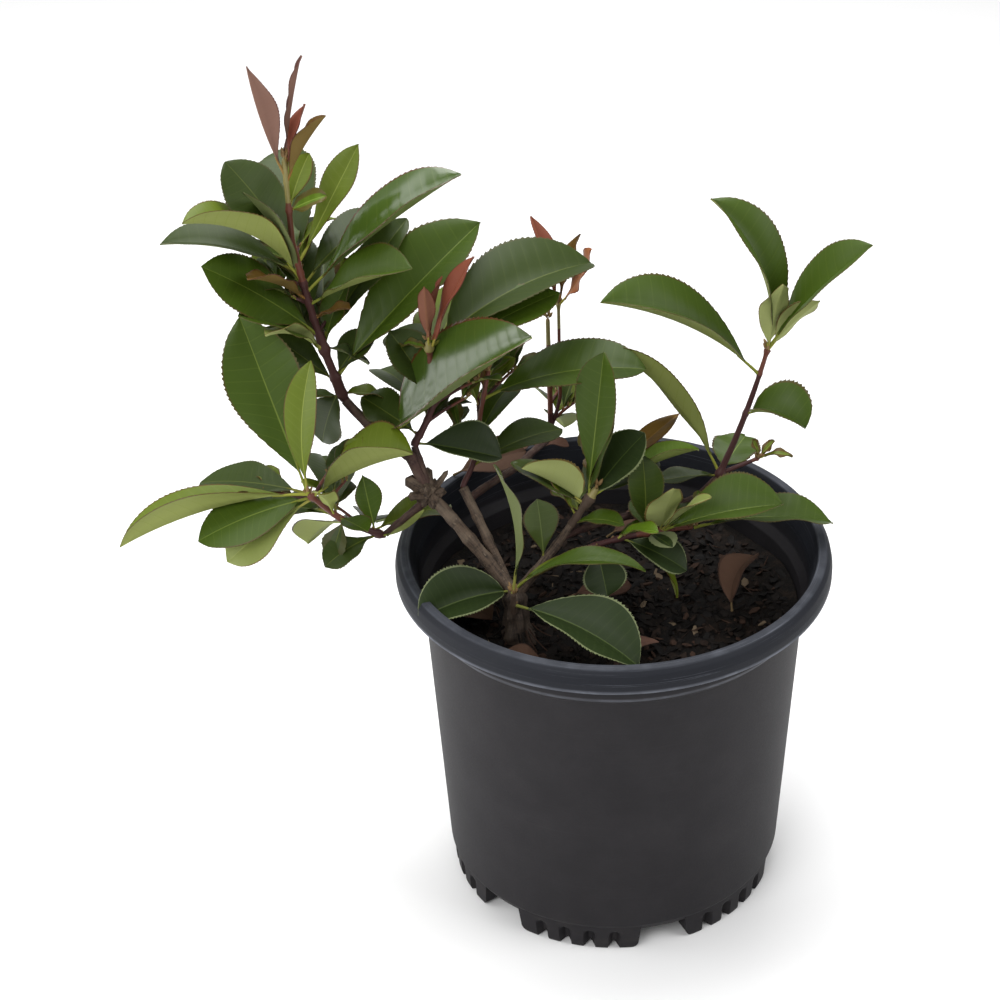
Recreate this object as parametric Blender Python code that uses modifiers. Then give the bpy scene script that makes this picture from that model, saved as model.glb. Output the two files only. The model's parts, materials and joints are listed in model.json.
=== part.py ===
"""Potted red robin photinia: a young evergreen shrub in the round nursery pot it grows in.

Lengths are metres and +Z is up. The shrub's own sizes are written in millimetres times MM.
A heading is an angle seen from above, 0 to +X and 90 to +Y. A lift is the angle above level.
Limbs and leaves are arcs: heading, lift and length give the straight line from foot to tip,
and arch is how many degrees the arc turns down on its way.
"""
import math
import random
from dataclasses import dataclass

import bmesh
import bpy
from mathutils import Matrix, Vector
from mathutils.bvhtree import BVHTree

# Units and fits
MM = 0.001
GAP = 0.3 * MM
MERGE = 0.001 * MM

# Pot: a 230 mm lip over a wall that narrows towards scalloped feet
POT_HEIGHT = 203 * MM
POT_SIDES = 48
WALL = 1.6 * MM
LIP_RADIUS = 115 * MM
LIP_EDGE_HEIGHT = 190 * MM
LIP_ROLL_DROP = 7.6 * MM
LIP_CORNER = (1 * MM, 3 * MM)
LIP_UNDERCUT = 0.6 * MM
LIP_SKIN_HEIGHT = 198 * MM
RIM_OUTER_RADIUS = 111.4 * MM
RIM_INNER_RADIUS = 107.4 * MM
RIM_STEP = 1.4 * MM
COLLAR_RADIUS = 105 * MM
COLLAR_FLARE = 0.6 * MM
COLLAR_FOOT_HEIGHT = 177 * MM
COLLAR_STEP = 3 * MM
WALL_RADIUS_AT_GROUND = 90.9 * MM
WALL_TAPER = 0.0558
FLOOR_UNDERSIDE = 13 * MM
FLOOR_THICKNESS = 3 * MM
FLOOR_CORNER = 5 * MM

# Feet: six groups of five rounded lobes with drain gaps between them
FOOT_GROUPS = 6
LOBES_PER_GROUP = 5
LOBE_PITCH = 8.9
LOBE_STEPS = 4
LOBE_DEPTH = 2.6 * MM
FOOT_OUTER_RADIUS = 89 * MM
FOOT_INNER_RADIUS = 80 * MM
FIRST_FOOT_HEADING = -102.7

# Soil: bark mix that lies a hand's width below the rim
SOIL_LEVEL = 168.6 * MM
SOIL_HOLLOW = 4 * MM
SOIL_RINGS = 6
SOIL_FLAT_RADIUS = 42 * MM
SOIL_INSET = 0.4 * MM
SOIL_WAVES = (90, 75, 40)

# Wood
LIMB_STEP = 9 * MM
LIMB_RESOLUTION = 1
CAP_RUN = 1 * MM
TRUNK_STEP = 5 * MM
FLAT_CUT_DEPTH = 1 * MM
COPY_REACH = 1.3 * GAP

# Knot: a lumpy ball with cut stubs, each a heading, a lift, a reach and a radius in millimetres
KNOT_RADIUS = 8.5 * MM
KNOT_LUMPS = (0.86, 1.12)
KNOT_FLATNESS = 0.9
KNOT_SEED = 3
STUB_TAPER = 0.8
KNOT_STUBS = ((215, 20, 13, 2.6), (262, 52, 13, 2.0), (20, 58, 14, 1.8))

# Leaves
LEAF_THICKNESS = 0.016
PETIOLE_SHARE = 0.12
PETIOLE_RADIUS = 0.9 * MM
BLADE_RINGS = (0.0, 0.17, 0.42, 0.68, 0.88)
WIDEST_SHIFT = 1.25
EDGE_FULLNESS = 0.66
WIDTH_FACTOR = 1.08

# Seeded leaves that fill the sides away from the named ones
FILL_SEED = 7
FILL_CENTRE = 0.6
FILL_TURN = 137.5
FILL_CLEARANCE = 0.6 * MM
FILL_SLENDER = (0.34, 0.42)
FILL_ARCH = (14, 46)
FILL_ROLL = (-18, 18)

BARK = (0.20, 0.145, 0.105, 1.0)
TWIG_RED = (0.16, 0.04, 0.04, 1.0)
LEAF_GREEN = (0.09, 0.17, 0.035, 1.0)
SOIL_BROWN = (0.028, 0.019, 0.014, 1.0)
POT_GREY = (0.05, 0.047, 0.05, 1.0)


@dataclass
class Arc:
    """One bend of a limb: the chord's heading, lift and length, and how far it turns."""

    heading: float
    lift: float
    length: float
    arch: float = 0


@dataclass
class Leaf:
    """One leaf: at is its place along the stem, 0 at the foot and 1 at the tip."""

    at: float
    heading: float
    lift: float
    length: float
    width: float
    arch: float = 30
    roll: float = 0
    fold: float = 22
    twig: int = 0


@dataclass
class Fill:
    """A rule for seeded leaves: how many to try and the ranges their values come from."""

    tries: int
    first_heading: float
    spread: float
    lift: tuple
    length: tuple
    reach: float
    span: tuple = (0.12, 0.96)


def direction(heading, lift):
    """Unit vector along a heading and a lift in degrees."""
    turn = math.radians(heading)
    rise = math.radians(lift)
    return Vector((math.cos(turn) * math.cos(rise), math.sin(turn) * math.cos(rise), math.sin(rise)))


def chord_frame(heading, lift, roll=0):
    """Along, side and upper directions of a chord that is rolled about itself."""
    along = direction(heading, lift)
    turn = math.radians(heading)
    side = Vector((math.sin(turn), -math.cos(turn), 0))
    upper = side.cross(along)
    spin = Matrix.Rotation(math.radians(roll), 3, along)
    return along, spin @ side, spin @ upper


def arc_point(share, length, arch):
    """Run along the chord, rise above it and slope, at a share of an arc."""
    turn = math.radians(arch)
    if abs(turn) < 1e-3:
        return share * length, 0.0, 0.0
    half = turn / 2
    here = turn * (0.5 - share)
    scale = length / (2 * math.sin(half))
    return (math.sin(half) - math.sin(here)) * scale, (math.cos(here) - math.cos(half)) * scale, here


def limb_path(start, arcs, step=LIMB_STEP):
    """Points along a chain of arcs, each of which starts where the one before it ends."""
    points = [Vector(start)]
    for arc in arcs:
        along, _, upper = chord_frame(arc.heading, arc.lift)
        foot = points[-1].copy()
        length = arc.length * MM
        count = max(2, round(length / step))
        for i in range(1, count + 1):
            run, rise, _ = arc_point(i / count, length, arc.arch)
            points.append(foot + along * run + upper * rise)
    return points


def path_lengths(points):
    """Length of each step of a path."""
    return [(b - a).length for a, b in zip(points, points[1:])]


def place_on(points, share):
    """Point and direction at a share of a path's length."""
    rest = share * sum(path_lengths(points))
    for a, b in zip(points, points[1:]):
        length = (b - a).length
        if rest <= length + 1e-9:
            return a.lerp(b, rest / length), (b - a).normalized()
        rest -= length
    return points[-1].copy(), (points[-1] - points[-2]).normalized()


def clear_scene():
    """Remove every object, mesh, curve and collection of the open scene."""
    for item in list(bpy.data.objects):
        bpy.data.objects.remove(item, do_unlink=True)
    for group in (bpy.data.meshes, bpy.data.curves, bpy.data.collections):
        for item in list(group):
            group.remove(item)


def new_collection(name):
    """A collection linked to the scene."""
    collection = bpy.data.collections.new(name)
    bpy.context.scene.collection.children.link(collection)
    return collection


def material(name, colour, roughness, metallic=0.0):
    """A Principled material with one colour, roughness and metallic value."""
    made = bpy.data.materials.get(name) or bpy.data.materials.new(name)
    made.use_nodes = True
    shader = made.node_tree.nodes["Principled BSDF"]
    shader.inputs["Base Color"].default_value = colour
    shader.inputs["Roughness"].default_value = roughness
    shader.inputs["Metallic"].default_value = metallic
    return made


def add_object(name, mesh, collection, finish=None):
    """Link a mesh as a named object."""
    item = bpy.data.objects.new(name, mesh)
    collection.objects.link(item)
    if finish:
        mesh.materials.clear()
        mesh.materials.append(finish)
    return item


def mesh_from(bm, name):
    """Write a bmesh to a new mesh and free it."""
    mesh = bpy.data.meshes.new(name)
    bm.to_mesh(mesh)
    bm.free()
    return mesh


def evaluated_mesh(item, name):
    """The mesh of an object after its modifiers, with its caps welded and its place applied."""
    bpy.context.view_layer.update()
    evaluated = item.evaluated_get(bpy.context.evaluated_depsgraph_get())
    mesh = bpy.data.meshes.new_from_object(evaluated)
    mesh.name = name
    mesh.transform(item.matrix_world)
    bm = bmesh.new()
    bm.from_mesh(mesh)
    bmesh.ops.remove_doubles(bm, verts=bm.verts, dist=MERGE)
    bmesh.ops.recalc_face_normals(bm, faces=bm.faces)
    bm.to_mesh(mesh)
    bm.free()
    return mesh


def bake(item, name, collection, finish=None):
    """Replace an object by a plain mesh object of its evaluated shape."""
    mesh = evaluated_mesh(item, name)
    bpy.data.objects.remove(item, do_unlink=True)
    return add_object(name, mesh, collection, finish)


def combine(base, others, operation, collection):
    """Apply one Boolean of a list of objects to a base object, and remove the objects."""
    tools = new_collection(base.name + "_tools")
    for item in others:
        for owner in list(item.users_collection):
            owner.objects.unlink(item)
        tools.objects.link(item)
        item.hide_render = True
        item.display_type = "WIRE"
    modifier = base.modifiers.new("combine", "BOOLEAN")
    modifier.operation = operation
    modifier.operand_type = "COLLECTION"
    modifier.collection = tools
    modifier.solver = "EXACT"
    name = base.name
    finish = base.data.materials[0] if base.data.materials else None
    base.name = name + "_raw"
    joined = bake(base, name, collection, finish)
    for item in others:
        bpy.data.objects.remove(item, do_unlink=True)
    bpy.data.collections.remove(tools)
    return joined


def turned(name, profile, sides, collection, finish):
    """A turned solid from a closed profile of (radius, height) pairs."""
    bm = bmesh.new()
    corners = [bm.verts.new((radius, 0, height)) for radius, height in profile]
    for a, b in zip(corners, corners[1:]):
        bm.edges.new((a, b))
    if profile[0][0] > 0:
        bm.edges.new((corners[-1], corners[0]))
    raw = add_object(name + "_raw", mesh_from(bm, name + "_profile"), collection)
    screw = raw.modifiers.new("turn", "SCREW")
    screw.steps = sides
    screw.render_steps = sides
    screw.use_merge_vertices = True
    screw.merge_threshold = MERGE
    return bake(raw, name, collection, finish)


def wall_radius(height):
    """Outer radius of the pot's wall under its collar."""
    return WALL_RADIUS_AT_GROUND + WALL_TAPER * height


def pot_profile():
    """The pot's section, down its outer side and back up its inner side."""
    corner = FLOOR_UNDERSIDE + FLOOR_CORNER
    floor_top = FLOOR_UNDERSIDE + FLOOR_THICKNESS
    groove = LIP_RADIUS - WALL
    outer = [
        (RIM_OUTER_RADIUS, POT_HEIGHT),
        (LIP_RADIUS - LIP_CORNER[0], POT_HEIGHT - LIP_CORNER[1]),
        (LIP_RADIUS, POT_HEIGHT - LIP_ROLL_DROP),
        (LIP_RADIUS, LIP_EDGE_HEIGHT),
        (groove, LIP_EDGE_HEIGHT),
        (groove - LIP_UNDERCUT, LIP_SKIN_HEIGHT),
        (COLLAR_RADIUS + WALL, LIP_SKIN_HEIGHT + LIP_CORNER[0]),
        (COLLAR_RADIUS + COLLAR_FLARE, LIP_EDGE_HEIGHT),
        (COLLAR_RADIUS, COLLAR_FOOT_HEIGHT + COLLAR_STEP),
        (COLLAR_RADIUS - RIM_STEP, COLLAR_FOOT_HEIGHT),
        (wall_radius(COLLAR_FOOT_HEIGHT), COLLAR_FOOT_HEIGHT - COLLAR_STEP),
        (wall_radius(corner), corner),
        (FOOT_OUTER_RADIUS, FLOOR_UNDERSIDE),
        (0, FLOOR_UNDERSIDE),
    ]
    inner = [
        (0, floor_top),
        (wall_radius(corner) - WALL - FLOOR_CORNER, floor_top),
        (wall_radius(corner) - WALL, floor_top + FLOOR_CORNER),
        (wall_radius(COLLAR_FOOT_HEIGHT) - WALL, COLLAR_FOOT_HEIGHT - COLLAR_STEP),
        (COLLAR_RADIUS - WALL - COLLAR_FLARE, COLLAR_FOOT_HEIGHT + COLLAR_STEP / 2),
        (COLLAR_RADIUS - WALL, LIP_EDGE_HEIGHT),
        (RIM_INNER_RADIUS - RIM_STEP, LIP_SKIN_HEIGHT + LIP_CORNER[0]),
        (RIM_INNER_RADIUS, POT_HEIGHT),
    ]
    return outer + inner


def foot_outline(heading):
    """Plan of one group of lobes: a scalloped outer edge and a plain inner one."""
    steps = LOBES_PER_GROUP * LOBE_STEPS
    half = LOBES_PER_GROUP * LOBE_PITCH / 2
    points = []
    for i in range(steps + 1):
        angle = math.radians(heading - half + LOBE_PITCH * i / LOBE_STEPS)
        bulge = abs(math.sin(math.pi * i / LOBE_STEPS))
        radius = FOOT_OUTER_RADIUS - LOBE_DEPTH * (1 - bulge)
        points.append((radius * math.cos(angle), radius * math.sin(angle)))
    for i in range(LOBES_PER_GROUP + 1):
        angle = math.radians(heading + half - 2 * half * i / LOBES_PER_GROUP)
        points.append((FOOT_INNER_RADIUS * math.cos(angle), FOOT_INNER_RADIUS * math.sin(angle)))
    return points


def plate(name, outline, bottom, top, collection):
    """A flat outline as a plate between two heights."""
    curve = bpy.data.curves.new(name, "CURVE")
    curve.dimensions = "2D"
    curve.fill_mode = "BOTH"
    curve.extrude = (top - bottom) / 2
    spline = curve.splines.new("POLY")
    spline.points.add(len(outline) - 1)
    for point, (x, y) in zip(spline.points, outline):
        point.co = (x, y, 0, 1)
    spline.use_cyclic_u = True
    item = bpy.data.objects.new(name + "_curve", curve)
    item.location.z = (top + bottom) / 2
    collection.objects.link(item)
    return bake(item, name, collection)


def build_pot(collection):
    """The nursery pot: a turned shell with its groups of feet joined on."""
    finish = material("black_plastic", POT_GREY, 0.55)
    shell = turned("pot", pot_profile(), POT_SIDES, collection, finish)
    feet = []
    for i in range(FOOT_GROUPS):
        heading = FIRST_FOOT_HEADING + 360 * i / FOOT_GROUPS
        overlap = FLOOR_UNDERSIDE + FLOOR_THICKNESS / 2
        feet.append(plate(f"foot_{i}", foot_outline(heading), 0, overlap, collection))
    return combine(shell, feet, "UNION", collection)


def soil_drop(x, y, foot):
    """How far the bark mix lies below its level, flat round the trunk."""
    away = max(0.0, math.hypot(x - foot.x, y - foot.y) - SOIL_FLAT_RADIUS)
    across, back, skew = SOIL_WAVES
    ripple = 0.5 + 0.25 * math.sin(x * across + 1) + 0.25 * math.sin(y * back - x * skew)
    return SOIL_HOLLOW * ripple * min(1.0, away / SOIL_FLAT_RADIUS)


def build_soil(collection, foot):
    """The bark mix that fills the pot, as one turned solid with an uneven top."""
    corner = FLOOR_UNDERSIDE + FLOOR_CORNER
    floor_top = FLOOR_UNDERSIDE + FLOOR_THICKNESS + GAP
    # The pot's flats lie inside its circle, so the soil's corners keep clear of them
    rim = wall_radius(SOIL_LEVEL) - WALL - GAP - SOIL_INSET
    low = wall_radius(corner) - WALL - GAP - SOIL_INSET
    profile = [(rim * (SOIL_RINGS - i) / SOIL_RINGS, SOIL_LEVEL) for i in range(SOIL_RINGS, -1, -1)]
    profile += [
        (low, floor_top + FLOOR_CORNER),
        (low - FLOOR_CORNER, floor_top),
        (0, floor_top),
    ]
    soil = turned("soil", profile, POT_SIDES, collection, material("bark_mix", SOIL_BROWN, 0.95))
    for vert in soil.data.vertices:
        if vert.co.z > SOIL_LEVEL - MERGE:
            vert.co.z -= soil_drop(vert.co.x, vert.co.y, foot)
    return soil


def tube(name, points, radii, collection, finish=None, resolution=LIMB_RESOLUTION, extra=0.0):
    """A round limb along points, with its radius given at shares of its length."""
    ahead = (points[-1] - points[-2]).normalized()
    back = (points[0] - points[1]).normalized()
    points = [points[0] + back * extra] + points[1:-1] + [points[-1] + ahead * extra]
    curve = bpy.data.curves.new(name, "CURVE")
    curve.dimensions = "3D"
    curve.fill_mode = "FULL"
    curve.bevel_depth = 1.0
    curve.bevel_resolution = resolution
    curve.use_fill_caps = True
    spline = curve.splines.new("POLY")
    spline.points.add(len(points) - 1)
    total = sum(path_lengths(points))
    gone = 0.0
    for i, position in enumerate(points):
        if i:
            gone += (position - points[i - 1]).length
        spline.points[i].co = (*position, 1)
        spline.points[i].radius = radius_at(radii, gone / total) + extra
    item = bpy.data.objects.new(name + "_curve", curve)
    collection.objects.link(item)
    return bake(item, name, collection, finish)


def radius_at(radii, share):
    """Radius at a share of a limb, from (share, radius) pairs."""
    for (a, radius_a), (b, radius_b) in zip(radii, radii[1:]):
        if share <= b:
            return radius_a + (radius_b - radius_a) * (share - a) / (b - a)
    return radii[-1][1]


def taper(foot, tip):
    """A plain taper from a foot radius to a tip radius."""
    return [(0, foot), (1, tip)]


def square_end(points):
    """Add a point just before the last, so that the cap is square to the last bend."""
    ahead = (points[-1] - points[-2]).normalized()
    return points[:-1] + [points[-1] - ahead * CAP_RUN, points[-1]]


def blade_width(share):
    """Half width of a leaf blade as a part of its widest, from its foot to its tip."""
    return math.sin(math.pi * share ** WIDEST_SHIFT) ** EDGE_FULLNESS


def leaf_mesh(foot, leaf, margin=0.0, from_ring=0):
    """A closed leaf: a petiole and a blade folded along its midrib, as a loft of thin rings.

    The rings change from a square petiole to a wide blade, so they are lofted by hand.
    """
    along, side, upper = chord_frame(leaf.heading, leaf.lift, leaf.roll)
    length = leaf.length * MM
    thick = LEAF_THICKNESS * length / 2 + margin
    fold = math.radians(leaf.fold)
    shares = [0.0] + [PETIOLE_SHARE + (1 - PETIOLE_SHARE) * ring for ring in BLADE_RINGS]
    bm = bmesh.new()
    rings = []
    for share in shares[from_ring:]:
        run, rise, slope = arc_point(share, length, leaf.arch)
        middle = foot + along * run + upper * rise
        out = upper * math.cos(slope) - along * math.sin(slope)
        blade = max(0.0, (share - PETIOLE_SHARE) / (1 - PETIOLE_SHARE))
        half = PETIOLE_RADIUS + margin
        if blade > 0:
            half = max(half, leaf.width * WIDTH_FACTOR * MM / 2 * blade_width(blade) + margin)
        edge = out * math.sin(fold) * half
        spread = side * math.cos(fold) * half
        height = out * (thick if blade > 0 else max(thick, PETIOLE_RADIUS))
        shifts = (height, edge - spread, -height, edge + spread)
        rings.append([bm.verts.new(middle + shift) for shift in shifts])
    run, rise, _ = arc_point(1.0, length, leaf.arch)
    tip = bm.verts.new(foot + along * run + upper * rise)
    for near, far in zip(rings, rings[1:]):
        for i in range(4):
            bm.faces.new((near[i], near[(i + 1) % 4], far[(i + 1) % 4], far[i]))
    for i in range(4):
        bm.faces.new((rings[-1][i], rings[-1][(i + 1) % 4], tip))
    bm.faces.new(reversed(rings[0]))
    bmesh.ops.triangulate(bm, faces=bm.faces)
    bmesh.ops.recalc_face_normals(bm, faces=bm.faces)
    return bm


def tree_of(item):
    """A search tree of an object's mesh."""
    bm = bmesh.new()
    bm.from_mesh(item.data)
    tree = BVHTree.FromBMesh(bm)
    bm.free()
    return tree


# Wood of the shrub: limbs are (name, parent, share of the parent, arcs, foot and tip radius)
TRUNK_FOOT = Vector((-50 * MM, -37 * MM, SOIL_LEVEL + GAP))
TRUNK_ARCS = [Arc(108, 79, 27)]
TRUNK_RADII = [(0, 9.5 * MM), (0.16, 7.6 * MM), (0.4, 5.8 * MM), (0.75, 5.2 * MM), (1, 5.6 * MM)]

LIMBS = [
    ("left_stem_front", "trunk", 0.93, [Arc(149, 41, 67, 6)], 3.4, 3.1),
    ("left_stem_back", "trunk", 0.78, [Arc(128, 47, 64, 8)], 2.8, 2.4),
    ("right_stem", "trunk", 0.88, [Arc(40, 33, 27, -10), Arc(31, 46, 20, -6)], 2.9, 2.2),
    ("tall_bough", "left_stem_front", 1.0, [Arc(146, 58, 22), Arc(163, 39, 44, -20)], 3.0, 2.4),
    ("side_bough", "left_stem_front", 0.98, [Arc(-160, -35, 31)], 2.2, 1.8),
    ("middle_bough", "left_stem_front", 1.0, [Arc(128, 62, 26)], 2.4, 1.9),
    ("rear_bough", "left_stem_back", 0.90, [Arc(61, -8, 45, 6), Arc(69, -10, 47, 6)], 2.1, 1.8),
    ("low_bough", "right_stem", 0.42, [Arc(9, 20, 27, 6)], 1.9, 1.6),
    (
        "right_bough", "right_stem", 0.86,
        [Arc(36, -5, 42, 10), Arc(24, 2, 40, -20), Arc(4, 48, 16)], 2.1, 1.9,
    ),
]


@dataclass
class Mass:
    """A mass of foliage: the bough that it grows on from, its stem and its leaves."""

    name: str
    bough: str
    arcs: list
    foot_radius: float
    tip_radius: float
    twigs: list
    leaves: list
    fill: Fill
    offset: tuple = None


def build_masses():
    """The shrub's masses of foliage, each with its named leaves and its rule for the rest."""
    return [
        Mass(
            "foliage_tall", "tall_bough",
            [Arc(170, 74, 50, -8), Arc(-165, 80, 42, -4), Arc(-90, 84, 48)], 2.3, 1.1, [],
            [
                Leaf(0.93, -144, 75, 61, 31, 10, 0, 56),
                Leaf(0.97, -5, 80, 57, 15, 8, 0, 60),
                Leaf(0.95, 36, 66, 33, 15, 8, 0, 55),
                Leaf(0.90, -18, 58, 44, 24, 14, 0, 58),
                Leaf(0.79, 54, 54, 29, 14, 20, 10),
                Leaf(0.57, 37, 54, 66, 31, 14, 12, 14),
                Leaf(0.45, 13, 36, 99, 40, 18, -4, 32),
                Leaf(0.40, -22, 28, 66, 29, 20, 14, 24),
                Leaf(0.09, 34, 36, 109, 42, 24, 16, 20),
                Leaf(0.25, 49, 35, 78, 28, 20, 10),
                Leaf(0.60, 161, 53, 57, 30, 22, -30, 12),
                Leaf(0.48, -154, 65, 62, 20, 22, 20, 30),
                Leaf(0.49, -152, 38, 74, 30, 60, 14, 42),
                Leaf(0.53, 178, 12, 70, 28, 40, -10, 18),
                Leaf(0.42, -134, 35, 44, 18, 26, 10, 26),
                Leaf(0.34, -23, 26, 24, 12, 20, 0),
                Leaf(0.22, 40, 62, 36, 18, 20, 0, 16),
                Leaf(0.27, -165, 40, 72, 38, 24, -30, 14),
                Leaf(0.20, -142, 40, 62, 26, 30, -10, 18),
                Leaf(0.21, -122, 33, 52, 14, 40, 20, 34),
                Leaf(0.07, 166, 35, 47, 28, 20, -30, 14),
                Leaf(0.23, 21, -34, 28, 12, 20, 0),
                Leaf(0.02, -170, -3, 27, 16, 24, 10),
                Leaf(0.05, -139, -64, 30, 32, 20, 0, 16),
                Leaf(0.03, 30, -20, 25, 13, 20, 0, 20),
                Leaf(0.10, 46, 32, 31, 20, 20, 0, 16),
            ],
            Fill(16, 60, 65, (-18, 30), (58, 86), 95 * MM, (0.1, 0.74)),
        ),
        Mass(
            "foliage_left", "side_bough",
            [Arc(-162, 29, 21, -10), Arc(-163, 48, 30, -10)], 1.8, 1.2, [],
            [
                Leaf(1.00, -172, -14, 100, 34, 40, 22, 30),
                Leaf(1.00, 149, -18, 75, 28, 20, -20, 16),
                Leaf(0.94, -162, -21, 62, 32, 20, -24, 14),
                Leaf(1.00, 135, 62, 95, 46, -10, -26, 10),
                Leaf(1.00, -44, 83, 80, 20, 12, 20, 22),
                Leaf(0.94, -5, 28, 59, 44, 34, -8, 44),
                Leaf(0.08, -143, -12, 40, 22, 44, -10, 18),
                Leaf(0.44, 12, 81, 30, 14, 20, 0, 30),
                Leaf(0.12, -14, 34, 36, 14, 30, -30, 40),
                Leaf(0.62, -100, 49, 36, 12, 24, 0, 30),
            ],
            Fill(8, 100, 50, (-40, 0), (48, 72), 80 * MM),
        ),
        Mass(
            "foliage_middle", "middle_bough",
            [Arc(20, 64, 28, -10), Arc(-160, 86, 35)], 1.9, 1.3, [],
            [
                Leaf(0.04, -9, 46, 92, 47, 26, 34, 14),
                Leaf(0.10, -165, 25, 36, 22, 24, -10, 16),
                Leaf(0.26, 61, -12, 28, 18, 20, -20, 20),
                Leaf(0.92, -89, 71, 45, 18, 8, 0, 50),
                Leaf(0.97, -5, 78, 39, 12, 8, 0, 50),
                Leaf(0.89, -11, 66, 61, 22, 10, 20, 40),
                Leaf(0.92, 38, 9, 104, 44, 34, 6, 20),
                Leaf(0.80, 27, 17, 76, 32, 26, 8, 22),
                Leaf(0.66, 116, 7, 46, 24, 20, -10, 20),
                Leaf(0.44, -143, 61, 53, 26, 20, -10, 24),
                Leaf(0.92, 140, -13, 21, 8, 20, 0, 24),
            ],
            Fill(12, 85, 60, (-30, 12), (55, 85), 85 * MM),
        ),
        Mass(
            "foliage_inner", "left_stem_back",
            [Arc(62, 38, 15), Arc(72, 64, 25, -16), Arc(20, 78, 27)], 1.5, 1.0, [],
            [
                Leaf(0.74, 1, 11, 86, 38, 42, 16, 18),
                Leaf(0.30, -168, 26, 31, 34, 26, -16, 16),
                Leaf(0.40, -51, -5, 24, 24, 26, 20, 16),
                Leaf(0.90, 47, 63, 19, 8, 10, 0, 40),
            ],
            Fill(5, 80, 40, (-20, 10), (40, 62), 70 * MM),
        ),
        Mass(
            "foliage_rear", "rear_bough",
            [Arc(70, 20, 7, -60), Arc(110, 88, 70)], 1.7, 1.2,
            [(0.12, [Arc(10, 74, 20, -10), Arc(100, 88, 58)], 1.1, 0.9)],
            [
                Leaf(0.97, 144, 69, 50, 20, 12, 0, 40, 1),
                Leaf(0.99, 34, 71, 38, 15, 12, 0, 40, 1),
                Leaf(0.98, -28, 62, 42, 22, -30, 20, 34, 1),
                Leaf(0.18, 48, 24, 22, 16, 24, 0, 20, 1),
            ],
            Fill(8, 90, 40, (-50, -28), (42, 60), 80 * MM, (0.1, 0.5)),
        ),
        Mass(
            "foliage_centre", "right_stem",
            [Arc(12, 57, 26)], 2.1, 1.5, [],
            [
                Leaf(0.65, 21, 84, 84, 26, 10, 6, 18),
                Leaf(0.60, 72, 43, 54, 22, 16, 0, 18),
                Leaf(0.55, -173, 32, 38, 18, 30, 20, 30),
                Leaf(0.75, 23, 12, 61, 22, 20, -10, 34),
                Leaf(0.70, 44, 1, 50, 18, 20, 10, 20),
                Leaf(0.85, 54, 12, 74, 14, 26, 6, 22),
                Leaf(0.20, 134, 21, 30, 10, 30, 0, 30),
                Leaf(0.06, 169, 52, 34, 15, 20, 0, 30),
            ],
            Fill(7, 110, 50, (-25, 5), (42, 64), 72 * MM),
        ),
        Mass(
            "foliage_low", "low_bough",
            [Arc(12, 12, 20, 6), Arc(19, -3, 38, 6)], 1.6, 1.2, [],
            [
                Leaf(0.67, -1, 13, 63, 32, 22, 34, 14),
                Leaf(1.00, 9, -3, 72, 30, 30, 14, 20),
                Leaf(0.54, -39, 73, 38, 16, 10, 0, 34),
                Leaf(0.67, -33, 42, 38, 11, 14, 0, 26),
                Leaf(0.26, -32, 20, 25, 11, 34, 0, 30),
                Leaf(0.57, -61, -19, 18, 13, 20, 0, 14),
                Leaf(0.07, -64, -62, 34, 22, 20, 0, 14),
                Leaf(0.31, -13, -37, 30, 17, 20, 10, 16),
                Leaf(0.54, -12, -66, 42, 12, 20, 0, 26),
                Leaf(0.44, 137, 10, 28, 10, 20, 0, 24),
                Leaf(0.67, 49, 19, 37, 15, 20, 0, 24),
            ],
            Fill(5, 75, 35, (-20, 0), (36, 52), 62 * MM),
        ),
        Mass(
            "foliage_right", "right_bough",
            [Arc(14, 68, 24), Arc(6, 74, 56, -6)], 1.9, 1.2, [],
            [
                Leaf(0.80, -172, 32, 100, 36, 60, -22, 16),
                Leaf(1.00, 160, 66, 86, 34, 74, -24, 16),
                Leaf(1.00, 8, 50, 78, 33, 24, 26, 14),
                Leaf(0.97, 48, 88, 42, 15, 10, 0, 40),
                Leaf(0.98, -9, 54, 38, 16, 20, -14, 34),
                Leaf(0.50, -25, 4, 37, 24, 84, 10, 18),
                Leaf(0.03, 168, 58, 72, 18, 16, 0, 30),
                Leaf(0.05, 68, -6, 34, 22, 20, 0, 12),
                Leaf(0.12, -15, 20, 36, 8, 30, 0, 26),
            ],
            Fill(5, 90, 20, (-62, -44), (40, 56), 90 * MM, (0.04, 0.3)),
        ),
        Mass(
            "foliage_foot", "trunk",
            [Arc(-85, 76, 16)], 1.7, 1.3, [],
            [
                Leaf(0.75, -149, 10, 54, 34, 34, -14, 16),
                Leaf(0.40, -25, -12, 77, 36, 40, 16, 16),
                Leaf(0.95, 108, 72, 66, 17, 10, 0, 40),
                Leaf(0.90, -3, 9, 70, 15, 54, 0, 32),
            ],
            Fill(0, 0, 0, (0, 0), (0, 0), 0),
            (-1.5 * MM, -4.1 * MM, 18.5 * MM),
        ),
    ]


def leaf_tree(foot, leaf, margin=0.0):
    """A search tree of a leaf without its petiole, thicker by a margin."""
    probe = leaf_mesh(foot, leaf, margin, from_ring=1)
    tree = BVHTree.FromBMesh(probe)
    probe.free()
    return tree


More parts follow.
